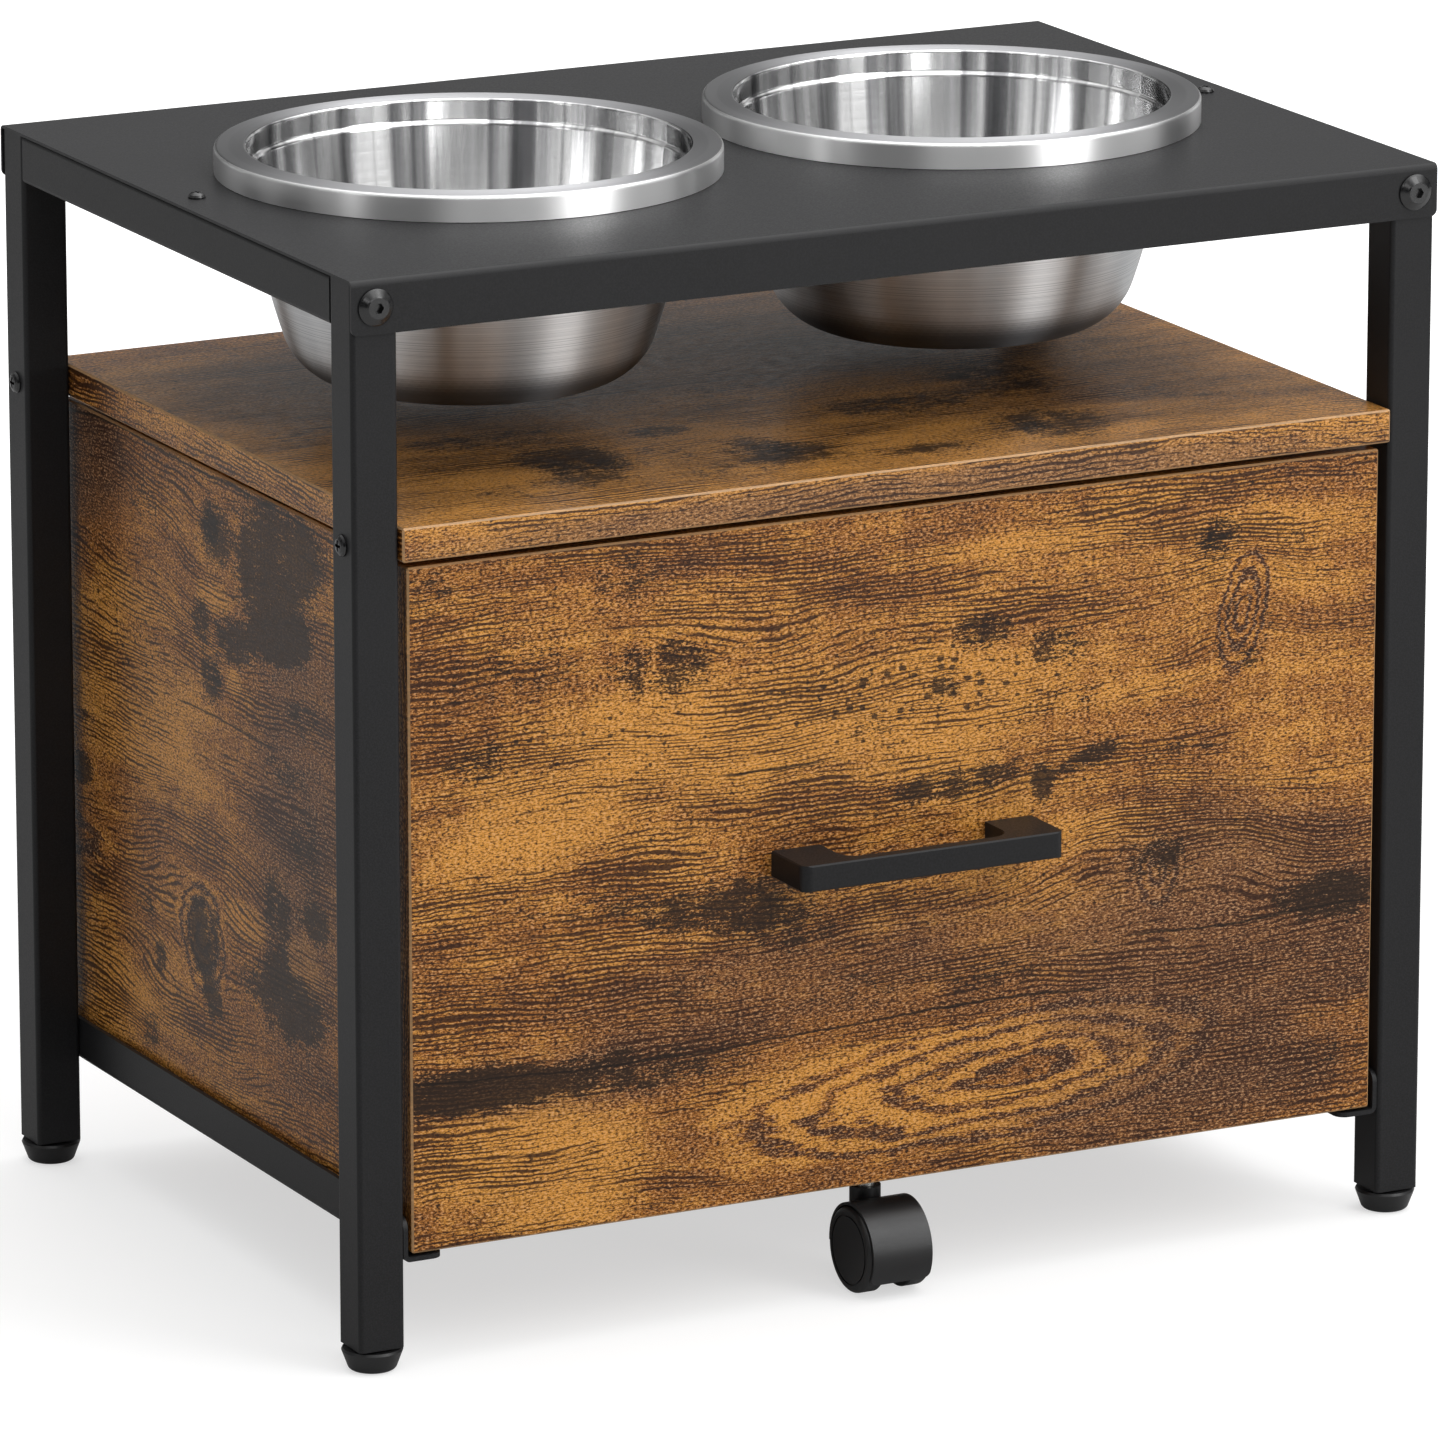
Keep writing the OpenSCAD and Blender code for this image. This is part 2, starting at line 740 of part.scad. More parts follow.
// Blind holes for the cam bolts and dowels in the face of the first board
module face_holes() {
    for (z = cam_z)
        translate([0, -joint_bite - over, z])
            y_cylinder(cam_bolt_d + 2 * fit, joint_bite + 2 * over);
    for (z = dowel_z)
        translate([0, -joint_bite - over, z])
            y_cylinder(dowel_d + 2 * fit, joint_bite + 2 * over);
}

// Bores and cam pockets in the end of the second board
module end_holes() {
    for (z = cam_z) {
        translate([0, -over, z])
            y_cylinder(cam_head_d + loose, cam_reach + over);
        translate([side_t / 2 - cam_h - over / 2, cam_reach, z])
            x_cylinder(cam_d + 2 * fit, cam_h + over);
    }
    for (z = dowel_z)
        translate([0, -over, z])
            y_cylinder(dowel_d + 2 * fit, dowel_l - joint_bite + 2 * over);
}

module drawer_front() {
    color("#9a6428")
        difference() {
            translate([-drawer_x, front_y, front_z])
                board(2 * drawer_x, front_t, board_top_z - front_z);
            both_sides()
                front_joint()
                    face_holes();
            for (sx = [-1, 1])
                translate([sx * handle_pitch / 2, front_y - over, handle_z])
                    y_cylinder(handle_screw_d + loose, front_t + 2 * over);
        }
}

// Side board of the drawer, for the left side
module drawer_side() {
    color("#8b5a2b")
        difference() {
            translate([-drawer_x, inner_y, side_z])
                board(side_t, side_l, board_top_z - side_z);
            front_joint()
                end_holes();
            back_joint()
                face_holes();
            for (y = bottom_screw_y)
                translate([-drawer_x - over, y, bottom_screw_z]) {
                    x_cylinder(drawer_shoulder_d + 2 * fit, side_t + 2 * over);
                    x_cylinder(drawer_screw_head_d + 2 * fit, screw_head_h + over);
                }
        }
}

module drawer_back() {
    color("#7d5026")
        difference() {
            translate([-bottom_w / 2, back_y, side_z])
                board(bottom_w, side_t, board_top_z - side_z);
            both_sides()
                back_joint()
                    end_holes();
        }
}

module drawer_bottom() {
    color("#7d5026")
        difference() {
            translate([-bottom_w / 2, inner_y, bottom_z])
                board(bottom_w, back_y - inner_y, bottom_t);
            both_sides()
                for (y = bottom_screw_y)
                    translate([-bottom_w / 2 - over, y, bottom_screw_z])
                        x_cylinder(drawer_screw_d + 2 * fit, drawer_screw_bite + 2 * over);
            translate([swivel_x, swivel_y, bottom_z - over])
                cylinder(d = nut_barrel_d + 2 * fit, h = bottom_t + 2 * over);
        }
}

module dowels() {
    for (z = dowel_z)
        translate([0, -joint_bite, z])
            rotate([-90, 0, 0])
                rotate_extrude()
                    polygon([
                        [0, 0], [dowel_d / 2 - dowel_bevel, 0], [dowel_d / 2, dowel_bevel],
                        [dowel_d / 2, dowel_l - dowel_bevel],
                        [dowel_d / 2 - dowel_bevel, dowel_l], [0, dowel_l]
                    ]);
}

module drawer_dowels() {
    color("#d9b98a")
        both_sides() {
            front_joint()
                dowels();
            back_joint()
                dowels();
        }
}

// Steel pins that stand in the face of the first board, their heads inside the cam locks
module cam_bolt_pair() {
    reach = joint_bite + cam_reach;
    h = cam_head_h / 2;
    for (z = cam_z)
        translate([0, -joint_bite, z])
            rotate([-90, 0, 0])
                rotate_extrude()
                    polygon([
                        [0, 0], [cam_bolt_d / 2 - tip, 0], [cam_bolt_d / 2, tip],
                        [cam_bolt_d / 2, reach - cam_neck_l - h],
                        [cam_neck_r, reach - cam_neck_l], [cam_neck_r, reach - 2 * h],
                        [cam_head_d / 2, reach - h], [cam_head_d / 2, reach + h],
                        [cam_neck_r, reach + 2 * h], [0, reach + 2 * h]
                    ]);
}

module cam_bolts() {
    color("#9c9c98")
        both_sides() {
            front_joint()
                cam_bolt_pair();
            back_joint()
                cam_bolt_pair();
        }
}

module cam_lock_pair() {
    for (z = cam_z)
        translate([0, cam_reach, z])
            difference() {
                translate([side_t / 2 - cam_h, 0, 0])
                    x_cylinder(cam_d, cam_h);
                translate([0, -cam_d, 0])
                    y_cylinder(cam_head_d + loose, cam_d + cam_head_d);
                translate([side_t / 2, 0, 0])
                    rotate([0, 90, 0])
                        cross_recess(0.55 * cam_d, cam_recess_depth);
            }
}

module cam_locks() {
    color("#a8a8a2")
        both_sides() {
            front_joint()
                cam_lock_pair();
            back_joint()
                cam_lock_pair();
        }
}

// Screws through the sides into the bottom, hidden behind the rails' upright flanges
module drawer_screws() {
    thread_r = drawer_screw_d / 2;
    shoulder_r = drawer_shoulder_d / 2;
    head_r = drawer_screw_head_d / 2;
    tip_x = side_t + drawer_screw_bite;
    color("#9c9c98")
        for (sx = [-1, 1], y = bottom_screw_y)
            translate([sx * drawer_x, y, bottom_screw_z])
                face_x(sx)
                    difference() {
                        rotate_extrude()
                            polygon([
                                [0, -tip_x], [thread_r / 2, -tip_x],
                                [thread_r, screw_cone - tip_x],
                                [thread_r, fit - side_t], [shoulder_r, screw_cone - side_t],
                                [shoulder_r, -screw_head_h], [head_r, -screw_head_h],
                                [head_r, 0], [0, 0]
                            ]);
                        translate([0, 0, -screw_hex_depth])
                            cylinder(d = screw_hex / cos(30), h = screw_hex_depth + over, $fn = 6);
                    }
}

// Handle

module handle_plan() {
    r = handle_corner_r;
    gap_d = handle_out - grip_t;
    difference() {
        intersection() {
            translate([0, r - handle_out / 2])
                rounded_rect(handle_l, handle_out + 2 * r, r);
            translate([-handle_l / 2 - over, -handle_out - over])
                square([handle_l + 2 * over, handle_out + over]);
        }
        translate([0, grip_fillet_r - gap_d / 2])
            rounded_rect(handle_l - 2 * post_w, gap_d + 2 * grip_fillet_r, grip_fillet_r);
    }
}

module handle() {
    color("#222222")
        translate([0, front_y, handle_z])
            difference() {
                intersection() {
                    linear_extrude(handle_h, center = true)
                        handle_plan();
                    rotate([90, 0, 0])
                        linear_extrude(3 * handle_out, center = true)
                            bevelled_rect(handle_l, handle_h, handle_bevel);
                    translate([0, handle_out / 2, 0])
                        rotate([90, 0, 90])
                            linear_extrude(handle_l + 2 * over, center = true)
                                bevelled_rect(3 * handle_out, handle_h, handle_bevel);
                }
                for (sx = [-1, 1])
                    translate([sx * handle_pitch / 2, -handle_screw_bite - over, 0])
                        y_cylinder(handle_screw_d + 2 * fit, handle_screw_bite + 2 * over);
            }
}

module handle_screws() {
    color("#9c9c98")
        for (sx = [-1, 1])
            translate([sx * handle_pitch / 2, inner_y, handle_z])
                face_y(1)
                    domed_screw(2 * handle_screw_d, handle_head_h, handle_screw_d,
                        front_t + handle_screw_bite);
}

// Caster

// Flanged nut let into the bottom board from above
module caster_nut() {
    color("#9c9c98")
        translate([swivel_x, swivel_y, bottom_z])
            difference() {
                union() {
                    translate([0, 0, nut_gap])
                        cylinder(d = nut_barrel_d, h = bottom_t - nut_gap);
                    translate([0, 0, bottom_t])
                        cylinder(r = collar_r, h = nut_flange_t);
                }
                cylinder(d = pin_d + 2 * fit, h = bottom_t + nut_flange_t + over);
            }
}

module caster_pin() {
    color("#b4b4b0")
        translate([swivel_x, swivel_y, 0])
            rotate_extrude()
                polygon([
                    [0, pin_low_z], [pin_d / 2 - tip, pin_low_z], [pin_d / 2, pin_low_z + tip],
                    [pin_d / 2, bottom_z - pin_collar_h], [collar_r, bottom_z - pin_collar_h],
                    [collar_r, bottom_z], [pin_d / 2, bottom_z],
                    [pin_d / 2, bottom_z + bottom_t], [0, bottom_z + bottom_t]
                ]);
}

module caster_hood() {
    boss_low = pin_low_z - pin_seat - boss_floor - axle_z;
    cut_z = hood_low_z - axle_z;
    far = hood_r + boss_d;
    color("#1a1a1a")
        translate([swivel_x, axle_y, axle_z])
            difference() {
                union() {
                    translate([-hood_w / 2, 0, 0])
                        x_cylinder(2 * hood_r, hood_w, $fn = 64);
                    translate([0, trail, boss_low])
                        cylinder(d = boss_d, h = boss_top_z - axle_z - boss_low);
                }
                for (sx = [-1, 1])
                    translate([sx * web_t / 2, 0, 0])
                        face_x(sx)
                            cylinder(r = cavity_r, h = hood_w, $fn = 64);
                rotate([90, 0, 90])
                    linear_extrude(hood_w + 2 * over, center = true)
                        polygon([
                            [-far, cut_z], [trail - boss_d, cut_z], [trail - boss_d / 2, boss_low],
                            [far, boss_low], [far, -far], [-far, -far]
                        ]);
                for (m = [0, 1])
                    mirror([m, 0, 0])
                        translate([-hood_w / 2, 0, cut_z])
                            rotate([90, 0, 0])
                                linear_extrude(far)
                                    corner_cut(hood_corner_r);
                translate([0, trail, pin_low_z - pin_seat - axle_z])
                    cylinder(d = pin_d + 2 * run_gap, h = 3 * hood_r);
                translate([-hood_w / 2, 0, 0])
                    x_cylinder(axle_d + 2 * fit, hood_w);
            }
}

module caster_axle() {
    half_l = wheel_in_x + axle_in_wheel - axle_end_gap;
    color("#b4b4b0")
        translate([swivel_x - half_l, axle_y, axle_z])
            x_cylinder(axle_d, 2 * half_l);
}

module wheel(sx) {
    bore_r = axle_d / 2 + run_gap;
    hub_r = bore_r + wheel_wall;
    rim_r = wheel_r - wheel_wall;
    face_z = wheel_w - wheel_wall;
    edge_r = wheel_edge_r;
    groove_r = wheel_r - groove_inset;
    groove_z = wheel_w - groove_depth;
    color("#141414")
        translate([swivel_x + sx * wheel_in_x, axle_y, axle_z])
            face_x(sx)
                rotate_extrude($fn = 64)
                    polygon(concat(
                        [[bore_r, 0], [hub_r, 0], [hub_r, face_z], [rim_r, face_z]],
                        [[rim_r, 0], [wheel_r - wheel_bevel, 0], [wheel_r, wheel_bevel]],
                        arc(wheel_r - edge_r, wheel_w - edge_r, edge_r, 0, 90, 5),
                        [[groove_r, wheel_w], [groove_r, groove_z]],
                        [[groove_r - groove_w, groove_z], [groove_r - groove_w, wheel_w]],
                        [[0, wheel_w], [0, axle_in_wheel], [bore_r, axle_in_wheel]]
                    ));
}

top_plate();
leg(-1, -1);  // left_front_leg
leg(-1, 1);  // left_rear_leg
leg(1, -1);  // right_front_leg
leg(1, 1);  // right_rear_leg
top_rail(-1);  // left_top_rail
top_rail(1);  // right_top_rail
drawer_rail();  // left_drawer_rail
mirror([1, 0, 0]) drawer_rail();  // right_drawer_rail
shelf_board();
flange_bolts();
weld_nuts();
plate_screws();
shelf_screws();
leg_plugs();
foot(-1, -1);  // left_front_foot
foot(-1, 1);  // left_rear_foot
foot(1, -1);  // right_front_foot
foot(1, 1);  // right_rear_foot
bowl(-1);  // left_bowl
bowl(1);  // right_bowl
drawer_front();
drawer_side();  // left_drawer_side
mirror([1, 0, 0]) drawer_side();  // right_drawer_side
drawer_back();
drawer_bottom();
drawer_dowels();
cam_bolts();
cam_locks();
drawer_screws();
handle();
handle_screws();
caster_nut();
caster_pin();
caster_hood();
caster_axle();
wheel(-1);  // left_wheel
wheel(1);  // right_wheel
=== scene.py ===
# %% [markdown]
# # An elevated dog feeder with a storage drawer
# Two stainless steel bowls hang in a powder coated steel top. Below them are a shelf board
# and a drawer in wood-effect laminate, with one caster under the drawer's front.
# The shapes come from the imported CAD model, in metres, so every piece is already in its
# place. The meshes could be built again here, but the model's own already have the true
# radii and walls, so each one is kept and only dressed. What is left to do in Blender is
# the finish of each surface, the light and the camera.

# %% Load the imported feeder
import math

import bpy
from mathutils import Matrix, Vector


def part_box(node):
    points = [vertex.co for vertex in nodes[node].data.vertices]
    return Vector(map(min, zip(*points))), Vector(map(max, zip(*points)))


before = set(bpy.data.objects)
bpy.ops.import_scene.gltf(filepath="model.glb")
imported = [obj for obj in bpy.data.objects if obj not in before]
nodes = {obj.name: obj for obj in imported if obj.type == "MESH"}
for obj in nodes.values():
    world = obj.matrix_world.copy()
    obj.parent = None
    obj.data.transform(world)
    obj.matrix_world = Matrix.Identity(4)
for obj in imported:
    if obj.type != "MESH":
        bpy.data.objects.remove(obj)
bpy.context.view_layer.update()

# %% [markdown]
# ## Colours
# The colours are written as they look on a screen, in sRGB hex. Blender's shaders work in
# linear light, so one function turns the one into the other.


# %% Turn an sRGB hex colour to linear
def linear(hex_colour):
    parts = [int(hex_colour[i:i + 2], 16) / 255 for i in (1, 3, 5)]
    curved = [v / 12.92 if v <= 0.04045 else ((v + 0.055) / 1.055) ** 2.4 for v in parts]
    return (*curved, 1.0)


print("mid grey", [round(v, 3) for v in linear("#808080")])

# %% [markdown]
# ## Building a material
# Every finish is a node tree. It could be wired by hand in the shader editor, but in a
# script each number can be named and changed. One function adds a node of any kind, sets
# what is a plain value, links what is another node's output, and hands back the output that
# the next node needs.
#
# Sockets that share a name are called by their number. A MapRange takes its value as 0,
# the two ends it comes from as 1 and 2, and the two it goes to as 3 and 4. A Mix node's
# numbers are 2 and 3, and its colours 6 and 7.


# %% Add one node to a tree
def add(tree, kind, sockets=None, out=0, **settings):
    """The output of a new node, by its name or number. Settings are the node's own."""
    node = tree.nodes.new("ShaderNode" + kind)
    for name, value in settings.items():
        setattr(node, name, value)
    for name, value in (sockets or {}).items():
        if isinstance(value, bpy.types.NodeSocket):
            tree.links.new(value, node.inputs[name])
        else:
            node.inputs[name].default_value = value
    return node.outputs[out] if len(node.outputs) else node


def new_material(name):
    material = bpy.data.materials.new(name)
    material.use_nodes = True
    material.node_tree.nodes.clear()
    return material, material.node_tree


def millimetres(tree):
    """The place of a point on the feeder at rest, in millimetres."""
    place = add(tree, "TexCoord", out="Object")
    return add(tree, "VectorMath", {0: place, "Scale": 1000.0}, operation="SCALE")


def dress(material, *names):
    for name in names:
        mesh = nodes[name].data
        mesh.materials.clear()
        mesh.materials.append(material)
    print(material.name, "on", len(names), "pieces")


# %% [markdown]
# ## Wood-effect laminate
# The boards are particle board with a printed melamine film. The print is a rustic oak:
# amber wood with fine dark grain lines, dark stains with ragged edges, knots, small specks
# and a few long cracks. Under the hard clear film it is satin, so it glints softly.
#
# It could be a picture laid on each board, but a picture has one size and shows its pixels
# from near. Here noise makes the marks, at sizes in millimetres, and short lists say where
# the main ones are. The film is flat, so the pattern is worked out on the board's own
# plane: `along` is the way of the grain and `across` the other way. On a board's narrow
# edges the third axis is added to `across`, so that the grain runs on round the edge.

# %% Colours of the print
PRINT = {name: linear(colour) for name, colour in {
    "brown": "#67432d", "amber": "#b6722d", "pale amber": "#e09b43", "cast": "#75523e",
    "dark fleck": "#331b0e", "pale fleck": "#d9ad80", "grain line": "#30180c",
    "stain": "#26190f", "burn": "#1a1009", "crack": "#1a1009", "speck": "#20130b",
    # The last colour is no colour of the print: it is a painted highlight on the bevelled edges
    "painted edge highlight": "#c8a074",
}.items()}
GRAIN_PITCH_MM = 2.1
SPECK_CELL_MM = (6, 4.2)
CRACK_FADE_MM = 25
print(len(PRINT), "print colours, grain lines", GRAIN_PITCH_MM, "mm apart")


# %% Settings that many nodes share: a ramp with soft ends, and a mix of two colours
SOFT = {"interpolation_type": "SMOOTHSTEP"}
COLOURS = {"data_type": "RGBA", "out": 2}


# %% One colour over another, and sums
def layer(tree, under, over, value, low, high, to_low=0.0, to_high=1.0):
    """The colour over on the colour under, thicker as value goes from low to high."""
    mask = add(tree, "MapRange", {0: value, 1: low, 2: high, 3: to_low, 4: to_high}, **SOFT)
    return add(tree, "Mix", {0: mask, 6: under, 7: over}, **COLOURS)


def weighted(tree, *terms):
    """The sum of (value, weight) pairs, where a value may also be a plain number."""
    total = None
    for value, weight in terms:
        total = add(tree, "Math", {0: value, 1: weight, 2: 0.0 if total is None else total},
                    operation="MULTIPLY_ADD")
    return total


# %% Streaky noise, whose marks are so many millimetres long and wide
def streaks(tree, plan, length, width, seed, detail=2.0, roughness=0.5):
    local = add(tree, "Mapping", {
        "Vector": plan,
        "Location": (seed, 0.37 * seed, 0),
        "Scale": (1 / length, 1 / width, 1),
    })
    return add(tree, "TexNoise", {
        "Vector": local, "Scale": 1.0, "Detail": detail, "Roughness": roughness,
    }, noise_dimensions="2D")


# %% A patch, full in its middle and fading out to its edge
def patch(tree, plan, spot):
    along, across, half_length, half_width, turn, strength = spot
    local = add(tree, "Mapping", {
        "Vector": plan,
        "Location": (along, across, 0),
        "Rotation": (0, 0, math.radians(turn)),
        "Scale": (half_length, half_width, 1),
    }, vector_type="TEXTURE")
    fade = add(tree, "TexGradient", {"Vector": local}, out="Fac", gradient_type="SPHERICAL")
    return add(tree, "MapRange", {0: fade, 1: 0.0, 2: 0.7, 3: 0.0, 4: strength}, **SOFT)


def patches(tree, plan, spots):
    total = None
    for spot in spots:
        one = patch(tree, plan, spot)
        total = one if total is None else add(tree, "Math", {0: total, 1: one}, operation="ADD")
    return total


def weights(tree, plan, spots, sign=1):
    """The same patches as (value, weight) pairs for a sum."""
    return [(patch(tree, plan, (*spot[:5], 1.0)), sign * spot[5]) for spot in spots]


# %% Rings of a knot or of a cathedral figure
def rings(tree, plan, ragged, eye):
    """How far the rings lighten the print: pale is how much of that lies between the lines."""
    along, across, half_length, half_width, turn, right_squeeze, gap, pale = eye
    local = add(tree, "Mapping", {
        "Vector": plan,
        "Location": (along, across, 0),
        "Rotation": (0, 0, math.radians(turn)),
        "Scale": (half_length / half_width, 1, 1),
    }, vector_type="TEXTURE")
    parts = add(tree, "SeparateXYZ", {0: local}).node.outputs
    right = add(tree, "Math", {0: parts[0], 1: right_squeeze}, operation="MULTIPLY")
    x = add(tree, "Math", {0: parts[0], 1: right}, operation="MAXIMUM")
    flat = add(tree, "CombineXYZ", {0: x, 1: parts[1]})
    radius = add(tree, "VectorMath", {0: flat}, out="Value", operation="LENGTH")
    rough = add(tree, "Math", {0: ragged, 1: gap, 2: radius}, operation="MULTIPLY_ADD")
    phase = add(tree, "Math", {0: rough, 1: 2 * math.pi / gap}, operation="MULTIPLY")
    wave = add(tree, "Math", {0: phase}, operation="SINE")
    inside = add(tree, "MapRange", {0: rough, 1: half_width, 2: 0.7 * half_width}, **SOFT)
    signed = add(tree, "MapRange", {0: wave, 1: -0.9, 2: 0.3, 3: pale - 1.0, 4: pale}, **SOFT)
    return add(tree, "Math", {0: signed, 1: inside}, operation="MULTIPLY"), inside


# %% [markdown]
# ### The layers of the print
# A film like this is printed in a few passes, and the material is built up in the same
# order: the light and dark of the wood, a cooler cast, the printing dots, the grain lines,
# then stains, burns, cracks and specks, and last a painted highlight on the bevelled edges.
# Each layer takes the colour so far and gives back the next one.


# %% Where a point lies on a board
def board_plan(tree, axes, face):
    """How far along and across the grain a point lies, in mm, for a face at the place `face`."""
    xyz = add(tree, "SeparateXYZ", {0: millimetres(tree)}).node.outputs
    grain_way, cross_way, out_way = (xyz["XYZ".index(axis)] for axis in axes)
    depth = add(tree, "Math", {0: out_way, 1: face}, operation="SUBTRACT")
    # On the two ends the edge band's grain runs the long way of the band
    normal = add(tree, "SeparateXYZ", {0: add(tree, "TexCoord", out="Normal")}).node.outputs
    endwise = add(tree, "Math", {0: normal["XYZ".index(axes[0])]}, operation="ABSOLUTE")
    end = add(tree, "Math", {0: endwise, 1: 0.5}, operation="GREATER_THAN")
    across = add(tree, "Math", {0: cross_way, 1: depth}, operation="ADD")
    band = add(tree, "Math", {0: grain_way, 1: depth}, operation="ADD")
    along = add(tree, "Mix", {0: end, 2: grain_way, 3: cross_way}, data_type="FLOAT")
    across = add(tree, "Mix", {0: end, 2: across, 3: band}, data_type="FLOAT")
    return along, across, add(tree, "CombineXYZ", {0: along, 1: across})


# %% The noises that the layers share
def print_noises(tree, plan, seed):
    ragged = streaks(tree, plan, 11, 2.0, seed + 15, detail=4.0, roughness=0.7)
    ragged = add(tree, "Math", {0: ragged, 1: 0.5}, operation="SUBTRACT")
    flames = streaks(tree, plan, 42, 9, seed + 16)
    return {
        "slow": streaks(tree, plan, 190, 70, seed),
        "fine": streaks(tree, plan, 9, 6, seed + 3),
        # Print mottle: dashes of a millimetre or so, and half a millimetre wide
        "grit": streaks(tree, plan, 1.7, 0.8, seed + 11, detail=2.0, roughness=0.7),
        "mottle": streaks(tree, plan, 7, 2.4, seed + 13, detail=3.0, roughness=0.6),
        "ragged": ragged,
        "shaky": weighted(tree, (ragged, 1.3), (flames, 1.2), (1.0, -0.6)),
        "clouds": streaks(tree, plan, 80, 34, seed + 19, detail=6.0, roughness=0.62),
        "smears": streaks(tree, plan, 9, 34, seed + 21, detail=3.0),
    }


# %% Light and dark of the wood itself, from brown to pale amber
def bare_wood(tree, plan, grain, noise, seed, tone, ring_terms):
    bands = streaks(tree, grain, 150, 8, seed + 17, detail=3.0)
    light = weighted(
        tree, (noise["clouds"], 1.1), (bands, 0.6), (noise["mottle"], 0.7),
        (noise["grit"], 0.45), (noise["smears"], 0.35), *weights(tree, plan, tone), *ring_terms)
    wood = layer(tree, PRINT["brown"], PRINT["amber"], light, 0.9, 1.6)
    return layer(tree, wood, PRINT["pale amber"], light, 1.5, 2.0), light


# %% A cooler, purple-brown cast, and the dots of the print
def cast_over(tree, plan, noise, wood, cast):
    cool = weighted(tree, (patches(tree, plan, cast), 1.0), (noise["ragged"], 0.8),
                    (noise["clouds"], -0.8))
    return layer(tree, wood, PRINT["cast"], cool, -0.5, 0.6, 0.0, 0.7)


def flecked(tree, noise, wood, light):
    dark = weighted(tree, (noise["grit"], 1.0), (light, 0.12))
    wood = layer(tree, wood, PRINT["dark fleck"], dark, 0.47, 0.86, 1.0, 0.0)
    return layer(tree, wood, PRINT["pale fleck"], noise["grit"], 0.54, 0.7, 0.0, 0.6)


# %% Dark grain lines, whose spacing and strength drift, broken every 10 mm
def grain_lines(tree, level, grain, seed, calmer):
    drift = streaks(tree, grain, 70, 9, seed + 5)
    turns = weighted(tree, (level, 2 * math.pi / GRAIN_PITCH_MM), (drift, 14.0))
    wave = add(tree, "Math", {0: turns}, operation="SINE")
    breaks = streaks(tree, grain, 16, 1.3, seed + 7, detail=4.0, roughness=0.65)
    runs = streaks(tree, grain, 90, 22, seed + 9)
    figure = weighted(tree, (wave, 0.8), (breaks, 3.0), (runs, 3.2), *calmer)
    return add(tree, "MapRange", {0: figure, 1: 3.18, 2: 3.95}, **SOFT)


# %% Olive-black stains, dry-brushed so that the grain shows through, and darker burns
def stained(tree, plan, noise, wood, stains, burns):
    stain = weighted(tree, (patches(tree, plan, stains), 1.0), (noise["clouds"], -1.1),
                     (noise["ragged"], 2.0), (noise["grit"], -1.2), (noise["smears"], -0.5))
    wood = layer(tree, wood, PRINT["stain"], stain, -0.95, -0.45, 0.0, 0.88)
    burn = weighted(tree, (patches(tree, plan, burns), 1.0), (noise["ragged"], 1.8),
                    (noise["grit"], -1.3), (noise["smears"], -0.7))
    return layer(tree, wood, PRINT["burn"], burn, -0.5, -0.1, 0.0, 0.85)


# %% Cracks: thin dark lines along the grain, (from, to, across, half width)
def cracked(tree, along, across, noise, wood, cracks):
    slow_sway, fine_sway = 14.0, 1.6
    wavy = weighted(tree, (across, 1.0), (noise["slow"], slow_sway), (noise["fine"], fine_sway))
    for start, end, level_mm, half_width in cracks:
        # A noise is 0.5 on average, so the line is moved back by half its sway
        middle = level_mm + 0.5 * (slow_sway + fine_sway)
        off = add(tree, "Math", {0: wavy, 1: middle}, operation="SUBTRACT")
        off = add(tree, "Math", {0: off}, operation="ABSOLUTE")
        before = add(tree, "MapRange", {0: along, 1: start, 2: start + CRACK_FADE_MM,
                                        3: 1.0, 4: 0.0}, **SOFT)
        beyond = add(tree, "MapRange", {0: along, 1: end - CRACK_FADE_MM, 2: end}, **SOFT)
        ends = add(tree, "Math", {0: before, 1: beyond}, operation="ADD")
        edge = weighted(tree, (off, 1.0), (noise["ragged"], half_width), (ends, 3 * half_width))
        wood = layer(tree, wood, PRINT["crack"], edge, 0.6 * half_width, 1.5 * half_width,
                     0.85, 0.0)
    return wood


# %% Specks: small worm holes of random size, crowded where the board has a cluster
def specked(tree, plan, along, across, noise, wood, dots):
    shaken = weighted(tree, (noise["ragged"], 2.5), (across, 1.0))
    cells = add(tree, "Mapping", {
        "Vector": add(tree, "CombineXYZ", {0: along, 1: shaken}),
        "Scale": (1 / SPECK_CELL_MM[0], 1 / SPECK_CELL_MM[1], 1),
    })
    near = add(tree, "TexVoronoi", {"Vector": cells, "Scale": 1.0}, voronoi_dimensions="2D")
    lot = add(tree, "SeparateColor", {0: near.node.outputs["Color"]})
    crowd = [(patches(tree, plan, dots), 0.16)] if dots else []
    size = weighted(tree, (lot, 0.42), (noise["ragged"], -0.35), (noise["grit"], -0.2), *crowd)
    speck = add(tree, "Math", {0: size, 1: near}, operation="SUBTRACT")
    return layer(tree, wood, PRINT["speck"], speck, 0.14, 0.24, 0.0, 0.85)


# %% A painted highlight: the bevelled edges are painted pale, as if they caught the light
def painted_edge_highlight(tree, wood):
    slant = add(tree, "VectorMath", {0: add(tree, "TexCoord", out="Normal")}, operation="ABSOLUTE")
    faces = add(tree, "SeparateXYZ", {0: slant}).node.outputs
    widest = add(tree, "Math", {0: faces[0], 1: faces[1]}, operation="MAXIMUM")
    widest = add(tree, "Math", {0: widest, 1: faces[2]}, operation="MAXIMUM")
    # A flat face's normal lies along an axis, and a bevel's leans 45 degrees from it
    return layer(tree, wood, PRINT["painted edge highlight"], widest, 0.93, 0.85, 0.0, 0.7)


# %% The whole laminate
# Melamine resin has an IOR near 1.65. It is lower here, matched to the boards, or the white
# room would veil the print. The shelf keeps more gloss than the standing boards.
BOARD_IOR, SHELF_IOR = 1.29, 1.36


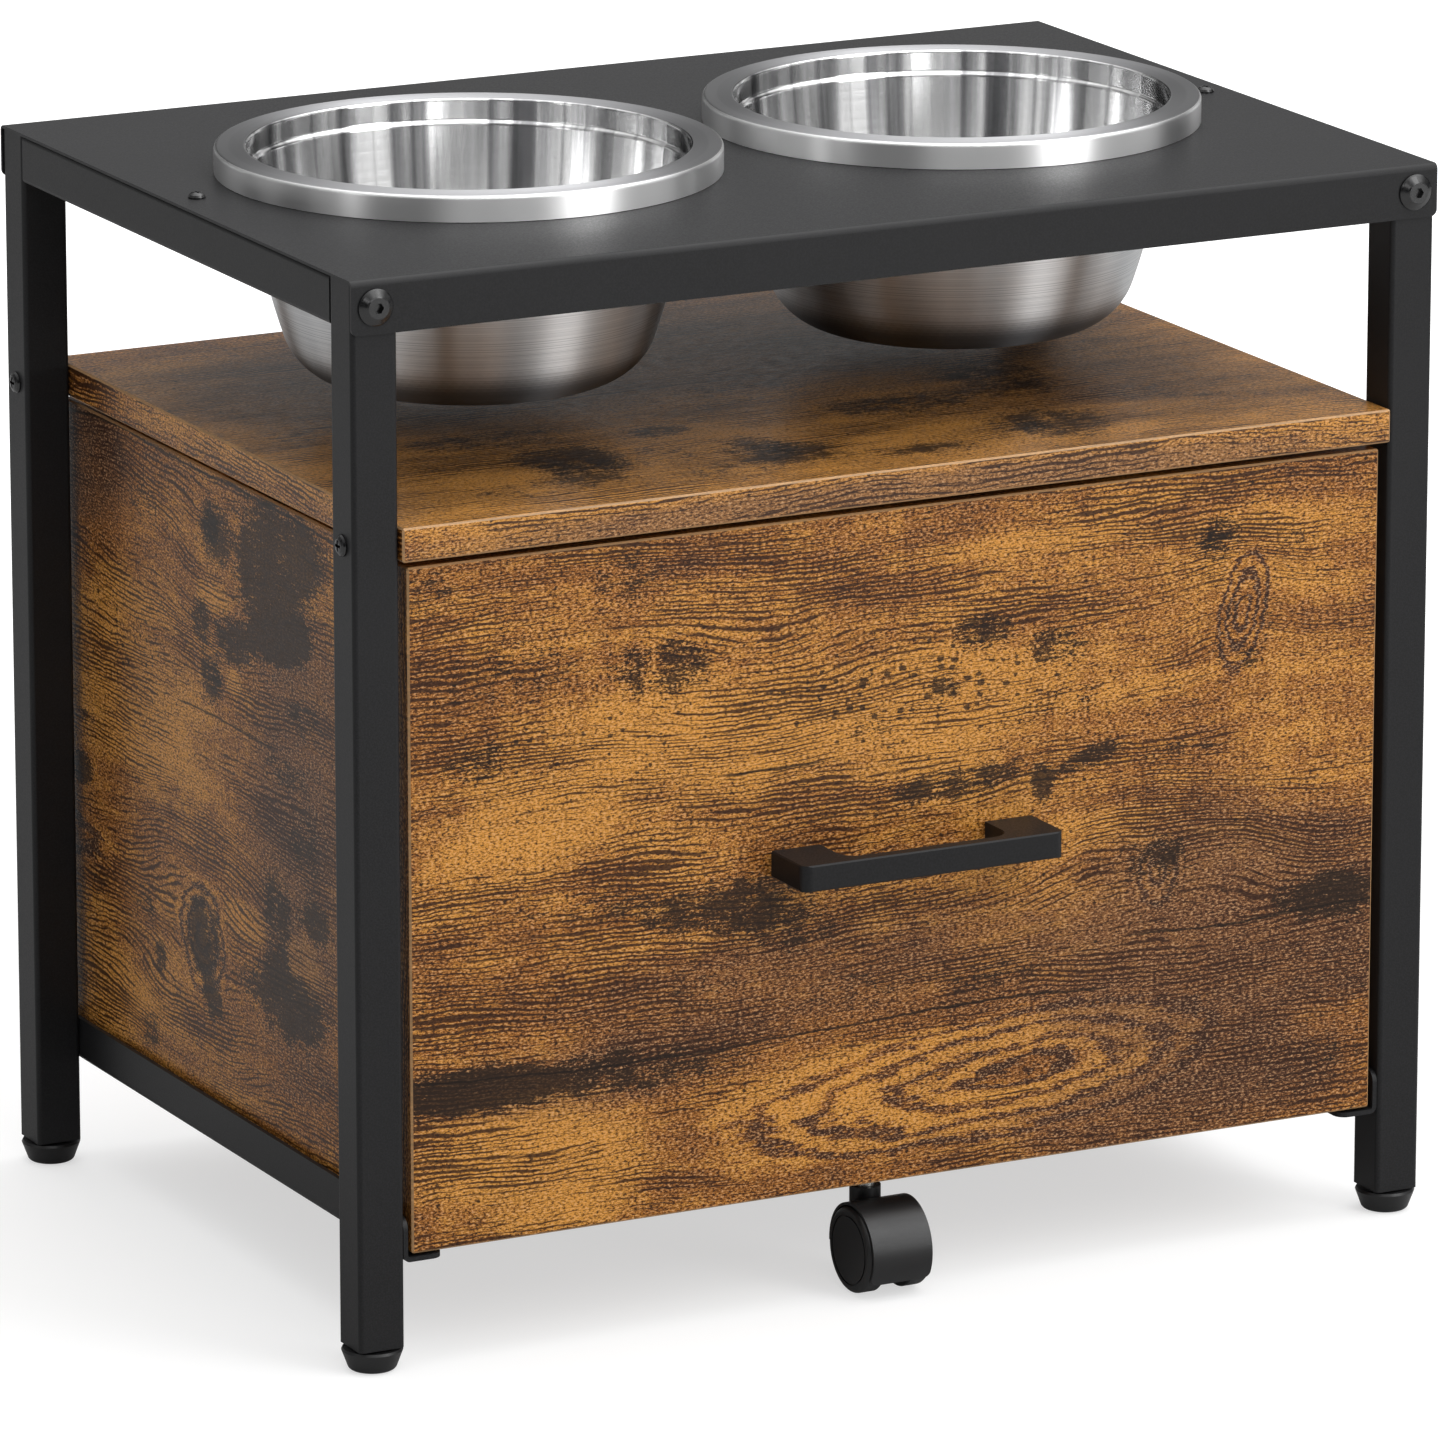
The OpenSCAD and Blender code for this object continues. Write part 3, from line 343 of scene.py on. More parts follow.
def laminate(name, axes, face, seed, tone, stains, burns, eyes, cracks, cast,
             dots=(), swells=(), calm=(), ior=BOARD_IOR):
    material, tree = new_material(name)
    along, across, plan = board_plan(tree, axes, face)
    noise = print_noises(tree, plan, seed)
    # The grain wanders by centimetres over the board, finely along each line, and round knots
    level = weighted(tree, (across, 1.0), (noise["slow"], 22.0), (noise["fine"], 1.5),
                     *weights(tree, plan, swells))
    grain = add(tree, "CombineXYZ", {0: along, 1: level})
    ring_terms, calmer = [], weights(tree, plan, calm, sign=-1)
    for eye in eyes:
        ring, inside = rings(tree, plan, noise["shaky"], eye)
        ring_terms.append((ring, 0.9))
        calmer.append((inside, -0.9))

    wood, light = bare_wood(tree, plan, grain, noise, seed, tone, ring_terms)
    wood = cast_over(tree, plan, noise, wood, cast)
    wood = flecked(tree, noise, wood, light)
    lines = grain_lines(tree, level, grain, seed, calmer)
    grain_dark = add(tree, "Math", {0: lines, 1: 0.9}, operation="MULTIPLY")
    wood = add(tree, "Mix", {0: grain_dark, 6: wood, 7: PRINT["grain line"]}, **COLOURS)
    wood = stained(tree, plan, noise, wood, stains, burns)
    wood = cracked(tree, along, across, noise, wood, cracks)
    wood = specked(tree, plan, along, across, noise, wood, dots)
    wood = painted_edge_highlight(tree, wood)

    # The film is embossed a little along the grain lines
    height = weighted(tree, (lines, -0.6), (noise["grit"], 1.0))
    bump = add(tree, "Bump", {"Strength": 0.25, "Distance": 0.00012, "Height": height})
    rough = add(tree, "MapRange", {0: noise["mottle"], 1: 0.2, 2: 0.8, 3: 0.28, 4: 0.4}, **SOFT)
    shader = add(tree, "BsdfPrincipled", {
        "Base Color": wood, "Normal": bump, "IOR": ior, "Roughness": rough})
    add(tree, "OutputMaterial", {"Surface": shader})
    return material


# %% [markdown]
# ### The boards
# Each board is cut from another place of the film, so each has marks of its own. They could
# be left to chance, but then no knot would be where the real one is. So every board has
# lists. A mark in tone, stains, burns, swells, dots, cast and calm is (along, across, half
# length, half width, turn in degrees, strength). An eye is (along, across, half length,
# half width, turn, squeeze of its right half, gap between its rings, paleness). A crack is
# (from, to, across, half width). All lengths are in millimetres.

# %% The drawer's front board
front_laminate = laminate(
    "wood-effect laminate, drawer front", "XZY", -157.1, 11,
    tone=[(-60, 245, 190, 45, 0, 0.35), (130, 305, 130, 45, 0, 0.2), (-165, 78, 75, 42, 0, 0.5),
          (0, 92, 150, 36, 4, 0.12), (180, 110, 90, 60, 0, -0.3), (-60, 140, 150, 26, 0, -0.15),
          (-10, 190, 260, 170, 0, 0.12),
          (130, 60, 130, 22, 0, -0.2), (-30, 62, 60, 26, 0, -0.1), (60, 88, 40, 9, 4, -0.7),
          (-50, 118, 190, 14, 0, -0.4), (170, 225, 80, 40, 0, 0.12), (-180, 215, 70, 30, 0, 0.25),
          (-120, 300, 90, 26, 0, 0.15)],
    stains=[(-80, 175, 70, 18, 0, 0.9), (-52, 160, 44, 14, 0, 0.6), (-150, 182, 50, 10, 0, 0.5),
            (25, 213, 50, 11, 3, 1.0), (64, 207, 9, 13, 0, 1.0), (86, 216, 32, 8, 18, 0.8),
            (198, 143, 42, 16, 0, 1.0), (-200, 113, 60, 17, 0, 1.0), (-130, 112, 110, 15, 0, 0.8),
            (-25, 130, 45, 18, 0, 0.5), (40, 130, 45, 14, 0, 0.5), (-90, 140, 30, 14, 0, 0.5),
            (210, 85, 30, 60, 0, 0.4), (-170, 285, 60, 30, 0, 0.4), (-215, 320, 26, 18, 0, 0.6),
            (-125, 318, 26, 20, 0, 0.5), (120, 160, 34, 26, 0, 0.4), (182, 298, 10, 10, 0, 0.6),
            (130, 214, 30, 7, 0, 0.4), (90, 240, 80, 10, -4, 0.35), (150, 262, 9, 30, -12, 0.55),
            (170, 268, 7, 28, -12, 0.5), (144, 298, 15, 14, 0, 0.7), (119, 172, 20, 18, 0, 0.45)],
    burns=[(-108, 277, 44, 20, 0, 0.8), (-192, 248, 24, 16, 0, 0.7), (36, 276, 24, 13, 0, 0.9),
           (70, 266, 26, 13, 0, 0.8), (19, 254, 13, 9, 0, 0.8), (147, 303, 17, 15, 0, 0.85),
           (160, 250, 11, 9, 0, 0.8), (-15, 240, 18, 9, 0, 0.6), (-175, 288, 44, 22, 0, 0.5),
           (75, 242, 40, 12, 0, 0.45)],
    eyes=[(60, 87, 175, 33, 4, 1.55, 6.6, 0.3), (158, 270, 14, 34, -12, 1.0, 9.0, -0.1),
          (119, 163, 14, 20, 0, 1.0, 7.0, 0.0)],
    swells=[(119, 172, 85, 45, 0, -11.0), (158, 268, 40, 46, 0, -5.0), (-70, 262, 90, 40, 0, 7.0)],
    cracks=[(-245, 110, 117, 0.5), (-100, -20, 229, 0.6), (90, 245, 138, 0.45)],
    dots=[(10, 255, 110, 28, 0, 1.3), (-150, 250, 80, 26, 0, 0.6)],
    cast=[(150, 130, 130, 90, 0, 0.9), (-40, 140, 150, 40, 0, 0.6), (120, 60, 140, 26, 0, 0.6),
          (-150, 112, 120, 22, 0, 0.6)],
    calm=[(150, 240, 110, 60, 0, 0.7), (-170, 214, 80, 22, 0, 0.5), (-60, 62, 160, 20, 0, 0.4)],
)
dress(front_laminate, "drawer_front")

# %% The drawer's left side
left_laminate = laminate(
    "wood-effect laminate, drawer left side", "YZX", -221.6, 23,
    tone=[(100, 220, 120, 70, 0, 0.35), (120, 95, 110, 50, 0, 0.3), (-55, 140, 24, 18, 0, 0.7),
          (-2, 147, 28, 12, 0, 0.6), (28, 277, 24, 10, 0, 0.7), (8, 246, 10, 8, 0, 0.7),
          (-60, 210, 50, 60, 0, -0.15), (150, 310, 60, 40, 0, -0.35), (-60, 85, 50, 30, 0, -0.2)],
    stains=[(-30, 300, 62, 52, 0, 1.2), (-38, 274, 40, 14, -8, 1.0), (28, 306, 22, 24, 0, 1.1),
            (8, 262, 30, 16, 0, 1.0), (40, 266, 14, 18, 0, 0.9), (30, 243, 16, 18, 0, 1.0),
            (38, 130, 24, 34, 0, 1.1), (55, 128, 26, 30, 0, 0.6), (32, 104, 16, 14, 0, 1.0),
            (-40, 122, 66, 24, 0, 1.1), (-32, 158, 24, 34, 0, 0.9), (-70, 162, 26, 15, 0, 1.1),
            (-60, 190, 24, 30, 0, 0.6), (-60, 245, 32, 14, 0, 0.8), (-40, 220, 36, 12, 0, 0.7),
            (85, 110, 10, 13, 0, 1.0), (100, 130, 18, 12, 0, 0.6), (95, 76, 12, 18, 0, 0.7),
            (148, 128, 12, 20, 0, 0.6), (98, 304, 28, 16, 0, 0.7), (-70, 315, 30, 22, 0, 0.7)],
    burns=[(28, 307, 14, 14, 0, 0.9), (162, 173, 18, 12, 0, 1.2), (28, 245, 12, 12, 0, 0.8),
           (160, 197, 16, 5, 0, 0.8)],
    eyes=[(42, 129, 30, 32, 0, 1.0, 8.0, 0.0), (172, 143, 46, 15, 0, 1.0, 9.0, 0.05)],
    swells=[(45, 168, 85, 42, 0, -11.0), (45, 90, 85, 40, 0, 10.0), (30, 280, 60, 50, 0, 6.0)],
    cracks=[(-165, 200, 327, 0.6), (-50, 80, 227, 0.5)],
    dots=[(120, 240, 60, 30, 0, 0.8)],
    cast=[(-60, 200, 80, 130, 0, 0.8), (150, 310, 60, 40, 0, 0.9)],
    calm=[(28, 290, 90, 60, 0, 0.5)],
)
dress(left_laminate, "left_drawer_side")

# %% The drawer's right side
right_laminate = laminate(
    "wood-effect laminate, drawer right side", "YZX", 221.6, 83,
    tone=[(-60, 250, 110, 60, 0, 0.35), (90, 110, 110, 60, 0, 0.3), (60, 240, 90, 70, 0, -0.25)],
    stains=[(100, 280, 70, 36, 0, 1.1), (-90, 150, 70, 26, 0, 1.0), (40, 190, 60, 24, 0, 0.9),
            (-40, 90, 50, 20, 0, 0.8), (140, 130, 40, 24, 0, 0.9), (-110, 300, 40, 22, 0, 0.7)],
    burns=[(110, 290, 26, 12, 0, 1.3), (-80, 156, 24, 10, 0, 1.2)],
    eyes=[(-30, 118, 130, 24, 3, 2.1, 8.0, 0.12)],
    cracks=[(-165, 200, 318, 0.5), (-70, 70, 98, 0.5)],
    dots=[(-60, 230, 70, 30, 0, 1.0)],
    cast=[(80, 200, 110, 90, 0, 0.8)],
)
dress(right_laminate, "right_drawer_side")

# %% The drawer's back and bottom
back_laminate = laminate(
    "wood-effect laminate, drawer back", "XZY", 176.9, 41,
    tone=[(-80, 238, 150, 70, 0, 0.3)],
    stains=[(-120, 258, 60, 24, 0, 1.0), (90, 198, 80, 26, 0, 0.9), (150, 288, 50, 20, 0, 0.8)],
    burns=[(40, 278, 26, 12, 0, 1.2)],
    eyes=[(-70, 150, 190, 26, -3, 2.2, 8.0, 0.12)],
    cracks=[(-200, 130, 138, 0.5)],
    cast=[(120, 198, 140, 110, 0, 0.8)],
)
dress(back_laminate, "drawer_back", "drawer_bottom")

# %% The shelf board
shelf_laminate = laminate(
    "wood-effect laminate, shelf board", "XYZ", 348, 57,
    # The widest tone patch, over the whole shelf, and the one at its left end are painted light:
    # they lift the print against the shade under the steel top
    tone=[(-170, -130, 90, 46, 0, 0.5), (-20, -100, 120, 50, 0, 0.35), (180, -150, 60, 16, 0, 0.3),
          (60, -20, 130, 60, 0, -0.05), (0, 90, 260, 90, 0, 0.2), (0, -40, 400, 240, 0, 0.7),
          (-190, 40, 90, 160, 0, 0.45)],
    stains=[(-115, -85, 40, 40, 0, 1.0), (-130, -40, 70, 22, 0, 0.7), (-35, -105, 22, 40, 0, 0.9),
            (90, -118, 44, 40, 0, 1.0), (50, -60, 60, 26, 0, 0.9), (-60, -58, 22, 16, 0, 0.9),
            (110, -30, 40, 60, 0, 0.9), (170, -90, 60, 30, 0, 0.5), (0, -10, 80, 30, 0, 0.6),
            (-185, 0, 50, 18, 0, 0.5), (180, 52, 60, 30, 0, 0.5)],
    burns=[(-30, -112, 34, 26, 0, 0.9), (-60, -130, 50, 22, 0, 0.6), (30, -140, 30, 18, 0, 0.6),
           (-118, -105, 34, 34, 0, 0.8), (-75, -95, 40, 26, 0, 0.55),
           (75, -120, 24, 26, 0, 0.7), (-150, -125, 60, 24, 0, 0.45), (10, -130, 50, 14, 0, 0.55)],
    eyes=[(-60, 62, 150, 26, 0, 2.0, 7.5, 0.15)],
    cracks=[(-210, 130, 12, 0.5)],
    # The cast over the shelf's rear half is partly the print's own cast and partly a painted grey
    # reflection
    cast=[(0, 82, 340, 150, 0, 0.9), (150, -70, 130, 70, 0, 0.6), (0, -172, 300, 14, 0, 1.0)],
    ior=SHELF_IOR,
)
dress(shelf_laminate, "shelf_board")

# %% [markdown]
# ## Powder coated steel
# The frame is welded from mild steel and the top is folded from sheet. Both are coated
# with black polyester powder, which melts to a fine orange peel: the surface is satin and
# breaks highlights into tiny grains. They could be real bumps in the mesh, but they are far
# finer than its faces, so noise moves the shading alone. A real grain is near 0.4 mm, and
# is drawn at 0.7 mm here, and at 1 mm on the handle, as coarse as it needs to show.
#
# Cured polyester has an IOR of about 1.5. It is lower here, matched to the feeder, because
# the peel scatters most of the gloss.


# %% Powder coat
def powder_coat(name, colour, grain_mm=0.7):
    material, tree = new_material(name)
    place = millimetres(tree)
    peel = add(tree, "TexNoise", {
        "Vector": place, "Scale": 1 / grain_mm, "Detail": 3.0, "Roughness": 0.6})
    clouds = add(tree, "TexNoise", {"Vector": place, "Scale": 1 / 60, "Detail": 3.0})
    paler = tuple(min(1.0, 1.8 * v) for v in linear(colour)[:3]) + (1.0,)
    paint = layer(tree, linear(colour), paler, peel, 0.35, 0.7)
    paint = layer(tree, paint, paler, clouds, 0.3, 0.7, 0.0, 0.25)
    bump = add(tree, "Bump", {"Strength": 0.5, "Distance": 0.00006, "Height": peel})
    rough = add(tree, "MapRange", {0: peel, 1: 0.3, 2: 0.7, 3: 0.34, 4: 0.48}, **SOFT)
    shader = add(tree, "BsdfPrincipled", {
        "Base Color": paint, "Normal": bump, "IOR": 1.3, "Roughness": rough})
    add(tree, "OutputMaterial", {"Surface": shader})
    return material


frame_coat = powder_coat("black polyester powder coat, frame", "#1a1a1b")
dress(frame_coat, "top_plate", "left_front_leg", "left_rear_leg", "right_front_leg",
      "right_rear_leg", "left_top_rail", "right_top_rail", "left_drawer_rail",
      "right_drawer_rail")
handle_coat = powder_coat("matt black coat on cast zinc, handle", "#161617", grain_mm=1.0)
dress(handle_coat, "handle")

# %% [markdown]
# ## Black bolts and screws
# The bolts and screws are black oxide steel under oil: nearly black, with the sharp
# highlights of a turned head. The finish could be a dark metal, but that would mirror the
# room in grey. The oxide and its oil reflect as a varnish does, so it isn't metallic, and
# its IOR lies between the oil's and the oxide's.

# %% Black oxide steel
material, tree = new_material("black oxide steel, bolts")
place = millimetres(tree)
grit = add(tree, "TexNoise", {"Vector": place, "Scale": 3.0, "Detail": 2.0})
shader = add(tree, "BsdfPrincipled", {
    "Base Color": layer(tree, linear("#0d0d0e"), linear("#19191a"), grit, 0.3, 0.7),
    "Metallic": 0.0, "IOR": 1.6,
    "Roughness": add(tree, "MapRange", {0: grit, 1: 0.3, 2: 0.7, 3: 0.16, 4: 0.26}, **SOFT),
})
add(tree, "OutputMaterial", {"Surface": shader})
dress(material, "flange_bolts", "plate_screws", "shelf_screws")

# %% [markdown]
# ## Stainless steel bowls
# Each bowl is spun or drawn from one sheet of 18/8 stainless steel. The inside is polished,
# the flat ring and the outside are brushed round. Brushing round spreads a highlight
# across the scratches, so bright and dark run up and down the wall in streaks.
#
# The scratches could be a fine bump, but that needs a great many samples to come out
# smooth. Anisotropic gloss spreads the reflection across them at once. Painted
# reflections are added in the colour as well: streaks of noise, read at the unit vector
# outward from the bowl's axis, so they follow it round.


# %% Where a point lies on a bowl
TOP_MM = 449    # the upper face of the steel top
SKIRT_MM = 98   # the radius beyond which the steel is the rim's skirt


def bowl_places(tree, centre_x, centre_y):
    """The way outward, the height, and how much a face belongs to each part of the bowl."""
    local = add(tree, "VectorMath", {0: millimetres(tree), 1: (centre_x, centre_y, TOP_MM)},
                operation="SUBTRACT")
    xyz = add(tree, "SeparateXYZ", {0: local}).node.outputs
    flat = add(tree, "CombineXYZ", {0: xyz[0], 1: xyz[1]})
    outward = add(tree, "VectorMath", {0: flat}, operation="NORMALIZE")
    radius = add(tree, "VectorMath", {0: flat}, out="Value", operation="LENGTH")
    normal = add(tree, "NewGeometry", out="True Normal")
    facing = add(tree, "VectorMath", {0: normal, 1: outward}, out="Value", operation="DOT_PRODUCT")
    up = add(tree, "SeparateXYZ", {0: normal}).node.outputs[2]
    return {
        "outward": outward, "height": xyz[2], "up": up,
        "inside": add(tree, "MapRange", {0: facing, 1: -0.05, 2: -0.25}, **SOFT),
        "ring": add(tree, "MapRange", {0: up, 1: 0.8, 2: 0.95}, **SOFT),
        "skirt": add(tree, "MapRange", {0: radius, 1: SKIRT_MM - 1, 2: SKIRT_MM + 1}, **SOFT),
    }


# %% Polished inside, satin outside, with painted reflections and shade in their colour
def steel_colour(tree, at, turned):
    # Painted reflections: streaks of bright and dark that run up and down the polished inside
    broad = add(tree, "TexNoise", {"Vector": at["outward"], "Scale": 3.6, "Detail": 1.0})
    narrow = add(tree, "TexNoise", {"Vector": at["outward"], "Scale": 14.0, "Detail": 2.0})
    painted_streak = add(tree, "Math", {0: narrow, 1: 0.8, 2: broad}, operation="MULTIPLY_ADD")
    polished = layer(tree, linear("#9c9c9e"), linear("#ffffff"), painted_streak, 0.72, 0.98)
    # Painted sheen: broad bright bands round the satin outside
    sheen = add(tree, "Math", {0: broad, 1: 0.6, 2: turned}, operation="MULTIPLY_ADD")
    satin = layer(tree, linear("#d2d4d6"), linear("#f4f5f6"), sheen, 0.6, 1.0)
    # Painted shade: faces that turn down are painted darker. Painted highlight: the rim's skirt is
    # painted white, nearly as bright as the inside
    satin = layer(tree, satin, linear("#77797c"), at["up"], -0.25, -0.75)
    satin = add(tree, "Mix", {0: at["skirt"], 6: satin, 7: linear("#ffffff")}, **COLOURS)
    colour = add(tree, "Mix", {0: at["inside"], 6: satin, 7: polished}, **COLOURS)
    # Painted shade: the flat ring is painted a darker grey than the satin wall
    return add(tree, "Mix", {0: at["ring"], 6: colour, 7: linear("#a9a9ab")}, **COLOURS)


# %% Stainless steel
def stainless(name, centre_x, centre_y):
    material, tree = new_material(name)
    at = bowl_places(tree, centre_x, centre_y)
    # Satin brushing round the outside: faint rings half a millimetre apart
    turned = add(tree, "TexNoise", {"W": at["height"], "Scale": 2.0, "Detail": 2.0},
                 noise_dimensions="1D")
    outside = add(tree, "MapRange", {0: at["skirt"], 3: 0.43, 4: 0.36}, **SOFT)
    rough = add(tree, "Mix", {0: at["inside"], 2: outside, 3: 0.14}, data_type="FLOAT")
    rough = add(tree, "Math", {0: turned, 1: 0.05, 2: rough}, operation="MULTIPLY_ADD")
    bump = add(tree, "Bump", {"Strength": 0.06, "Distance": 0.00002, "Height": turned})
    round_way = add(tree, "Tangent", direction_type="RADIAL", axis="Z")
    shader = add(tree, "BsdfPrincipled", {
        "Base Color": steel_colour(tree, at, turned), "Roughness": rough, "Normal": bump,
        "Metallic": 1.0, "Anisotropic": 0.9, "Anisotropic Rotation": 0.25,
        "Tangent": round_way,
    })
    add(tree, "OutputMaterial", {"Surface": shader})
    return material


# %% The two bowls
for name in ("left_bowl", "right_bowl"):
    low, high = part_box(name)
    centre = [1000 * (low[i] + high[i]) / 2 for i in (0, 1)]
    print(name, "turns about", [round(v, 1) for v in centre], "mm")
    dress(stainless("stainless steel, " + name.replace("_", " "), *centre), name)

# %% [markdown]
# ## Black plastic
# The feet, the plugs and the caster are injection moulded in black polypropylene and
# nylon, with the soft sheen of a fine mould texture. The texture could be a picture with
# seams on every curve. Noise in space has none, and its size is the mould's own grain. The
# plastic's flow leaves clouds about 18 mm wide, a shade paler.


# %% Moulded plastic
def moulded(name, colour, roughness, grain_mm=0.5):
    material, tree = new_material(name)
    place = millimetres(tree)
    grain = add(tree, "TexNoise", {"Vector": place, "Scale": 1 / grain_mm, "Detail": 2.0})
    flow = add(tree, "TexNoise", {"Vector": place, "Scale": 1 / 18, "Detail": 2.0})
    paler = tuple(min(1.0, 1.5 * v) for v in linear(colour)[:3]) + (1.0,)
    tint = layer(tree, linear(colour), paler, flow, 0.3, 0.7)
    bump = add(tree, "Bump", {"Strength": 0.3, "Distance": 0.00004, "Height": grain})
    rough = add(tree, "MapRange", {
        0: grain, 1: 0.3, 2: 0.7, 3: roughness, 4: roughness + 0.12}, **SOFT)
    shader = add(tree, "BsdfPrincipled", {
        "Base Color": tint, "Normal": bump, "IOR": 1.49, "Roughness": rough})
    add(tree, "OutputMaterial", {"Surface": shader})
    return material


dress(moulded("moulded polypropylene, feet", "#111112", 0.34), "left_front_foot",
      "left_rear_foot", "right_front_foot", "right_rear_foot", "leg_plugs")
dress(moulded("moulded nylon, caster hood", "#141415", 0.34), "caster_hood")
dress(moulded("moulded nylon, caster wheels", "#101011", 0.38), "left_wheel", "right_wheel")

# %% [markdown]
# ## Zinc plated steel and beech
# The hidden fittings are bright zinc plated steel, which mirrors softly and is a little
# mottled, and turned beech dowels with fine long pores. One flat colour would do for what
# hardly shows, but the drawer opens, so each has its own noise at its true size.

# %% Zinc plate
material, tree = new_material("bright zinc plated steel")
place = millimetres(tree)
grain = add(tree, "TexNoise", {"Vector": place, "Scale": 0.8, "Detail": 3.0})
shader = add(tree, "BsdfPrincipled", {
    "Base Color": layer(tree, linear("#b9bbba"), linear("#dcdcd6"), grain, 0.3, 0.7),
    "Roughness": add(tree, "MapRange", {0: grain, 1: 0.3, 2: 0.7, 3: 0.24, 4: 0.36}, **SOFT),
    "Metallic": 1.0,
})
add(tree, "OutputMaterial", {"Surface": shader})
dress(material, "weld_nuts", "cam_bolts", "cam_locks", "drawer_screws", "handle_screws",
      "caster_nut", "caster_pin", "caster_axle")

# %% Beech
material, tree = new_material("turned beech, dowels")
place = millimetres(tree)
stretched = add(tree, "Mapping", {"Vector": place, "Scale": (1.2, 0.12, 1.2)})
pores = add(tree, "TexNoise", {"Vector": stretched, "Scale": 1.0, "Detail": 3.0})
shader = add(tree, "BsdfPrincipled", {
    "Base Color": layer(tree, linear("#c9a26c"), linear("#e0c08e"), pores, 0.35, 0.65),
    "Roughness": 0.6, "IOR": 1.5,
})
add(tree, "OutputMaterial", {"Surface": shader})
dress(material, "drawer_dowels")

# %% [markdown]
# ## Floor and background
# The feeder stands on a pale floor that keeps its shadow and runs on into a white
# background. A curved backdrop could do that for one view, but it would stand in the way of
# the views from behind. So the floor is flat, and what the camera sees is lifted to white:
# the floor throws no more light on the feeder than a pale grey floor would, and the
# feeder's faces keep their depth. Metal and other glossy faces see some of that white too.

# %% Floor
FLOOR_SIZE = 12.0
# A hair below the feet, so that the two faces don't flicker
FLOOR_DROP = 0.0002
bpy.ops.mesh.primitive_plane_add(size=FLOOR_SIZE, location=(0, 0, -FLOOR_DROP))
floor = bpy.context.object
floor.name = "studio_floor"
material, tree = new_material("pale studio floor")
# The camera sees the floor lifted in full, and glossy faces see a tenth of that
rays = add(tree, "LightPath").node.outputs
seen = weighted(tree, (rays["Is Camera Ray"], 1.0), (rays["Is Glossy Ray"], 0.1))
paint = add(tree, "BsdfDiffuse", {"Color": linear("#b2b2b2")})
place = add(tree, "TexCoord", out="Object")
away = add(tree, "VectorMath", {0: place}, out="Value", operation="LENGTH")
rise = add(tree, "MapRange", {0: away, 1: 0.3, 2: 1.5, 3: 0.6, 4: 1.0}, **SOFT)
lift = add(tree, "Emission", {
    "Color": (1, 1, 1, 1),
    "Strength": add(tree, "Math", {0: seen, 1: rise}, operation="MULTIPLY"),
})
add(tree, "OutputMaterial", {"Surface": add(tree, "AddShader", {0: paint, 1: lift})})
floor.data.materials.append(material)
print("floor", FLOOR_SIZE, "m wide")

# %% [markdown]
# ### The room
# Polished steel shows its surroundings, and a studio is a grey room with white panels and
# dark gaps between them. The room could be a panorama picture. Stretched noise in the
# world's light gives such panels without one, and each kind of ray gets what it needs.

# %% The panels of the room
world = bpy.data.worlds.new("studio")
bpy.context.scene.world = world
world.use_nodes = True
tree = world.node_tree
tree.nodes.clear()
direction = add(tree, "TexCoord", out="Generated")
panels = add(tree, "Mapping", {"Vector": direction, "Scale": (1.0, 1.0, 0.15)})
panels = add(tree, "TexNoise", {"Vector": panels, "Scale": 2.6, "Detail": 1.0})
room = add(tree, "MapRange", {0: panels, 1: 0.38, 2: 0.62, 3: 0.1, 4: 0.45}, **SOFT)
# Metal sees the panels as white as the background, with dark gaps between them
white = add(tree, "MapRange", {0: panels, 1: 0.44, 2: 0.58, 3: 0.05, 4: 1.0}, **SOFT)
# A black flag at the rear right, low down, keeps the top and the shelf from going hazy
flag = add(tree, "VectorMath", {0: direction, 1: (0.44, 0.86, 0.26)}, out="Value",
           operation="DOT_PRODUCT")
shade = add(tree, "MapRange", {0: flag, 1: 0.75, 2: 0.95, 3: 1.0, 4: 0.35}, **SOFT)
white = add(tree, "Math", {0: white, 1: shade}, operation="MULTIPLY")
print("room and panels,", len(tree.nodes), "nodes")

# %% Bright above, dim at the left, and white to the camera
rays = add(tree, "LightPath").node.outputs
room = add(tree, "Mix", {0: rays["Is Glossy Ray"], 2: room, 3: white}, data_type="FLOAT")
sides = add(tree, "SeparateXYZ", {0: direction}).node.outputs
ceiling = add(tree, "MapRange", {0: sides[2], 1: 0.35, 2: 0.85, 3: 0.0, 4: 1.9}, **SOFT)
room = add(tree, "Math", {0: room, 1: ceiling}, operation="ADD")
# The left is kept dim, so that the feeder's left faces are darker than its front
dim = add(tree, "MapRange", {0: sides[0], 1: -0.6, 2: 0.3, 3: 0.3, 4: 1.0}, **SOFT)
room = add(tree, "Math", {0: room, 1: dim}, operation="MULTIPLY")
strength = add(tree, "Mix", {0: rays["Is Camera Ray"], 2: room, 3: 1.0}, data_type="FLOAT")
background = add(tree, "Background", {"Color": (1, 1, 1, 1), "Strength": strength})
add(tree, "OutputWorld", {"Surface": background})
print("world,", len(tree.nodes), "nodes")

# %% [markdown]
# ## Light
# Four softboxes: a wide one overhead, a key at the right in front, a weak fill at the left
# and a wide, low one in front, which lights the bowls' rims. Bare lamps could light the
# feeder too, but they would show as dots on the steel and throw hard shadows. Each box's
# strength is the brightness of its face, so that it keeps its meaning when its size changes.


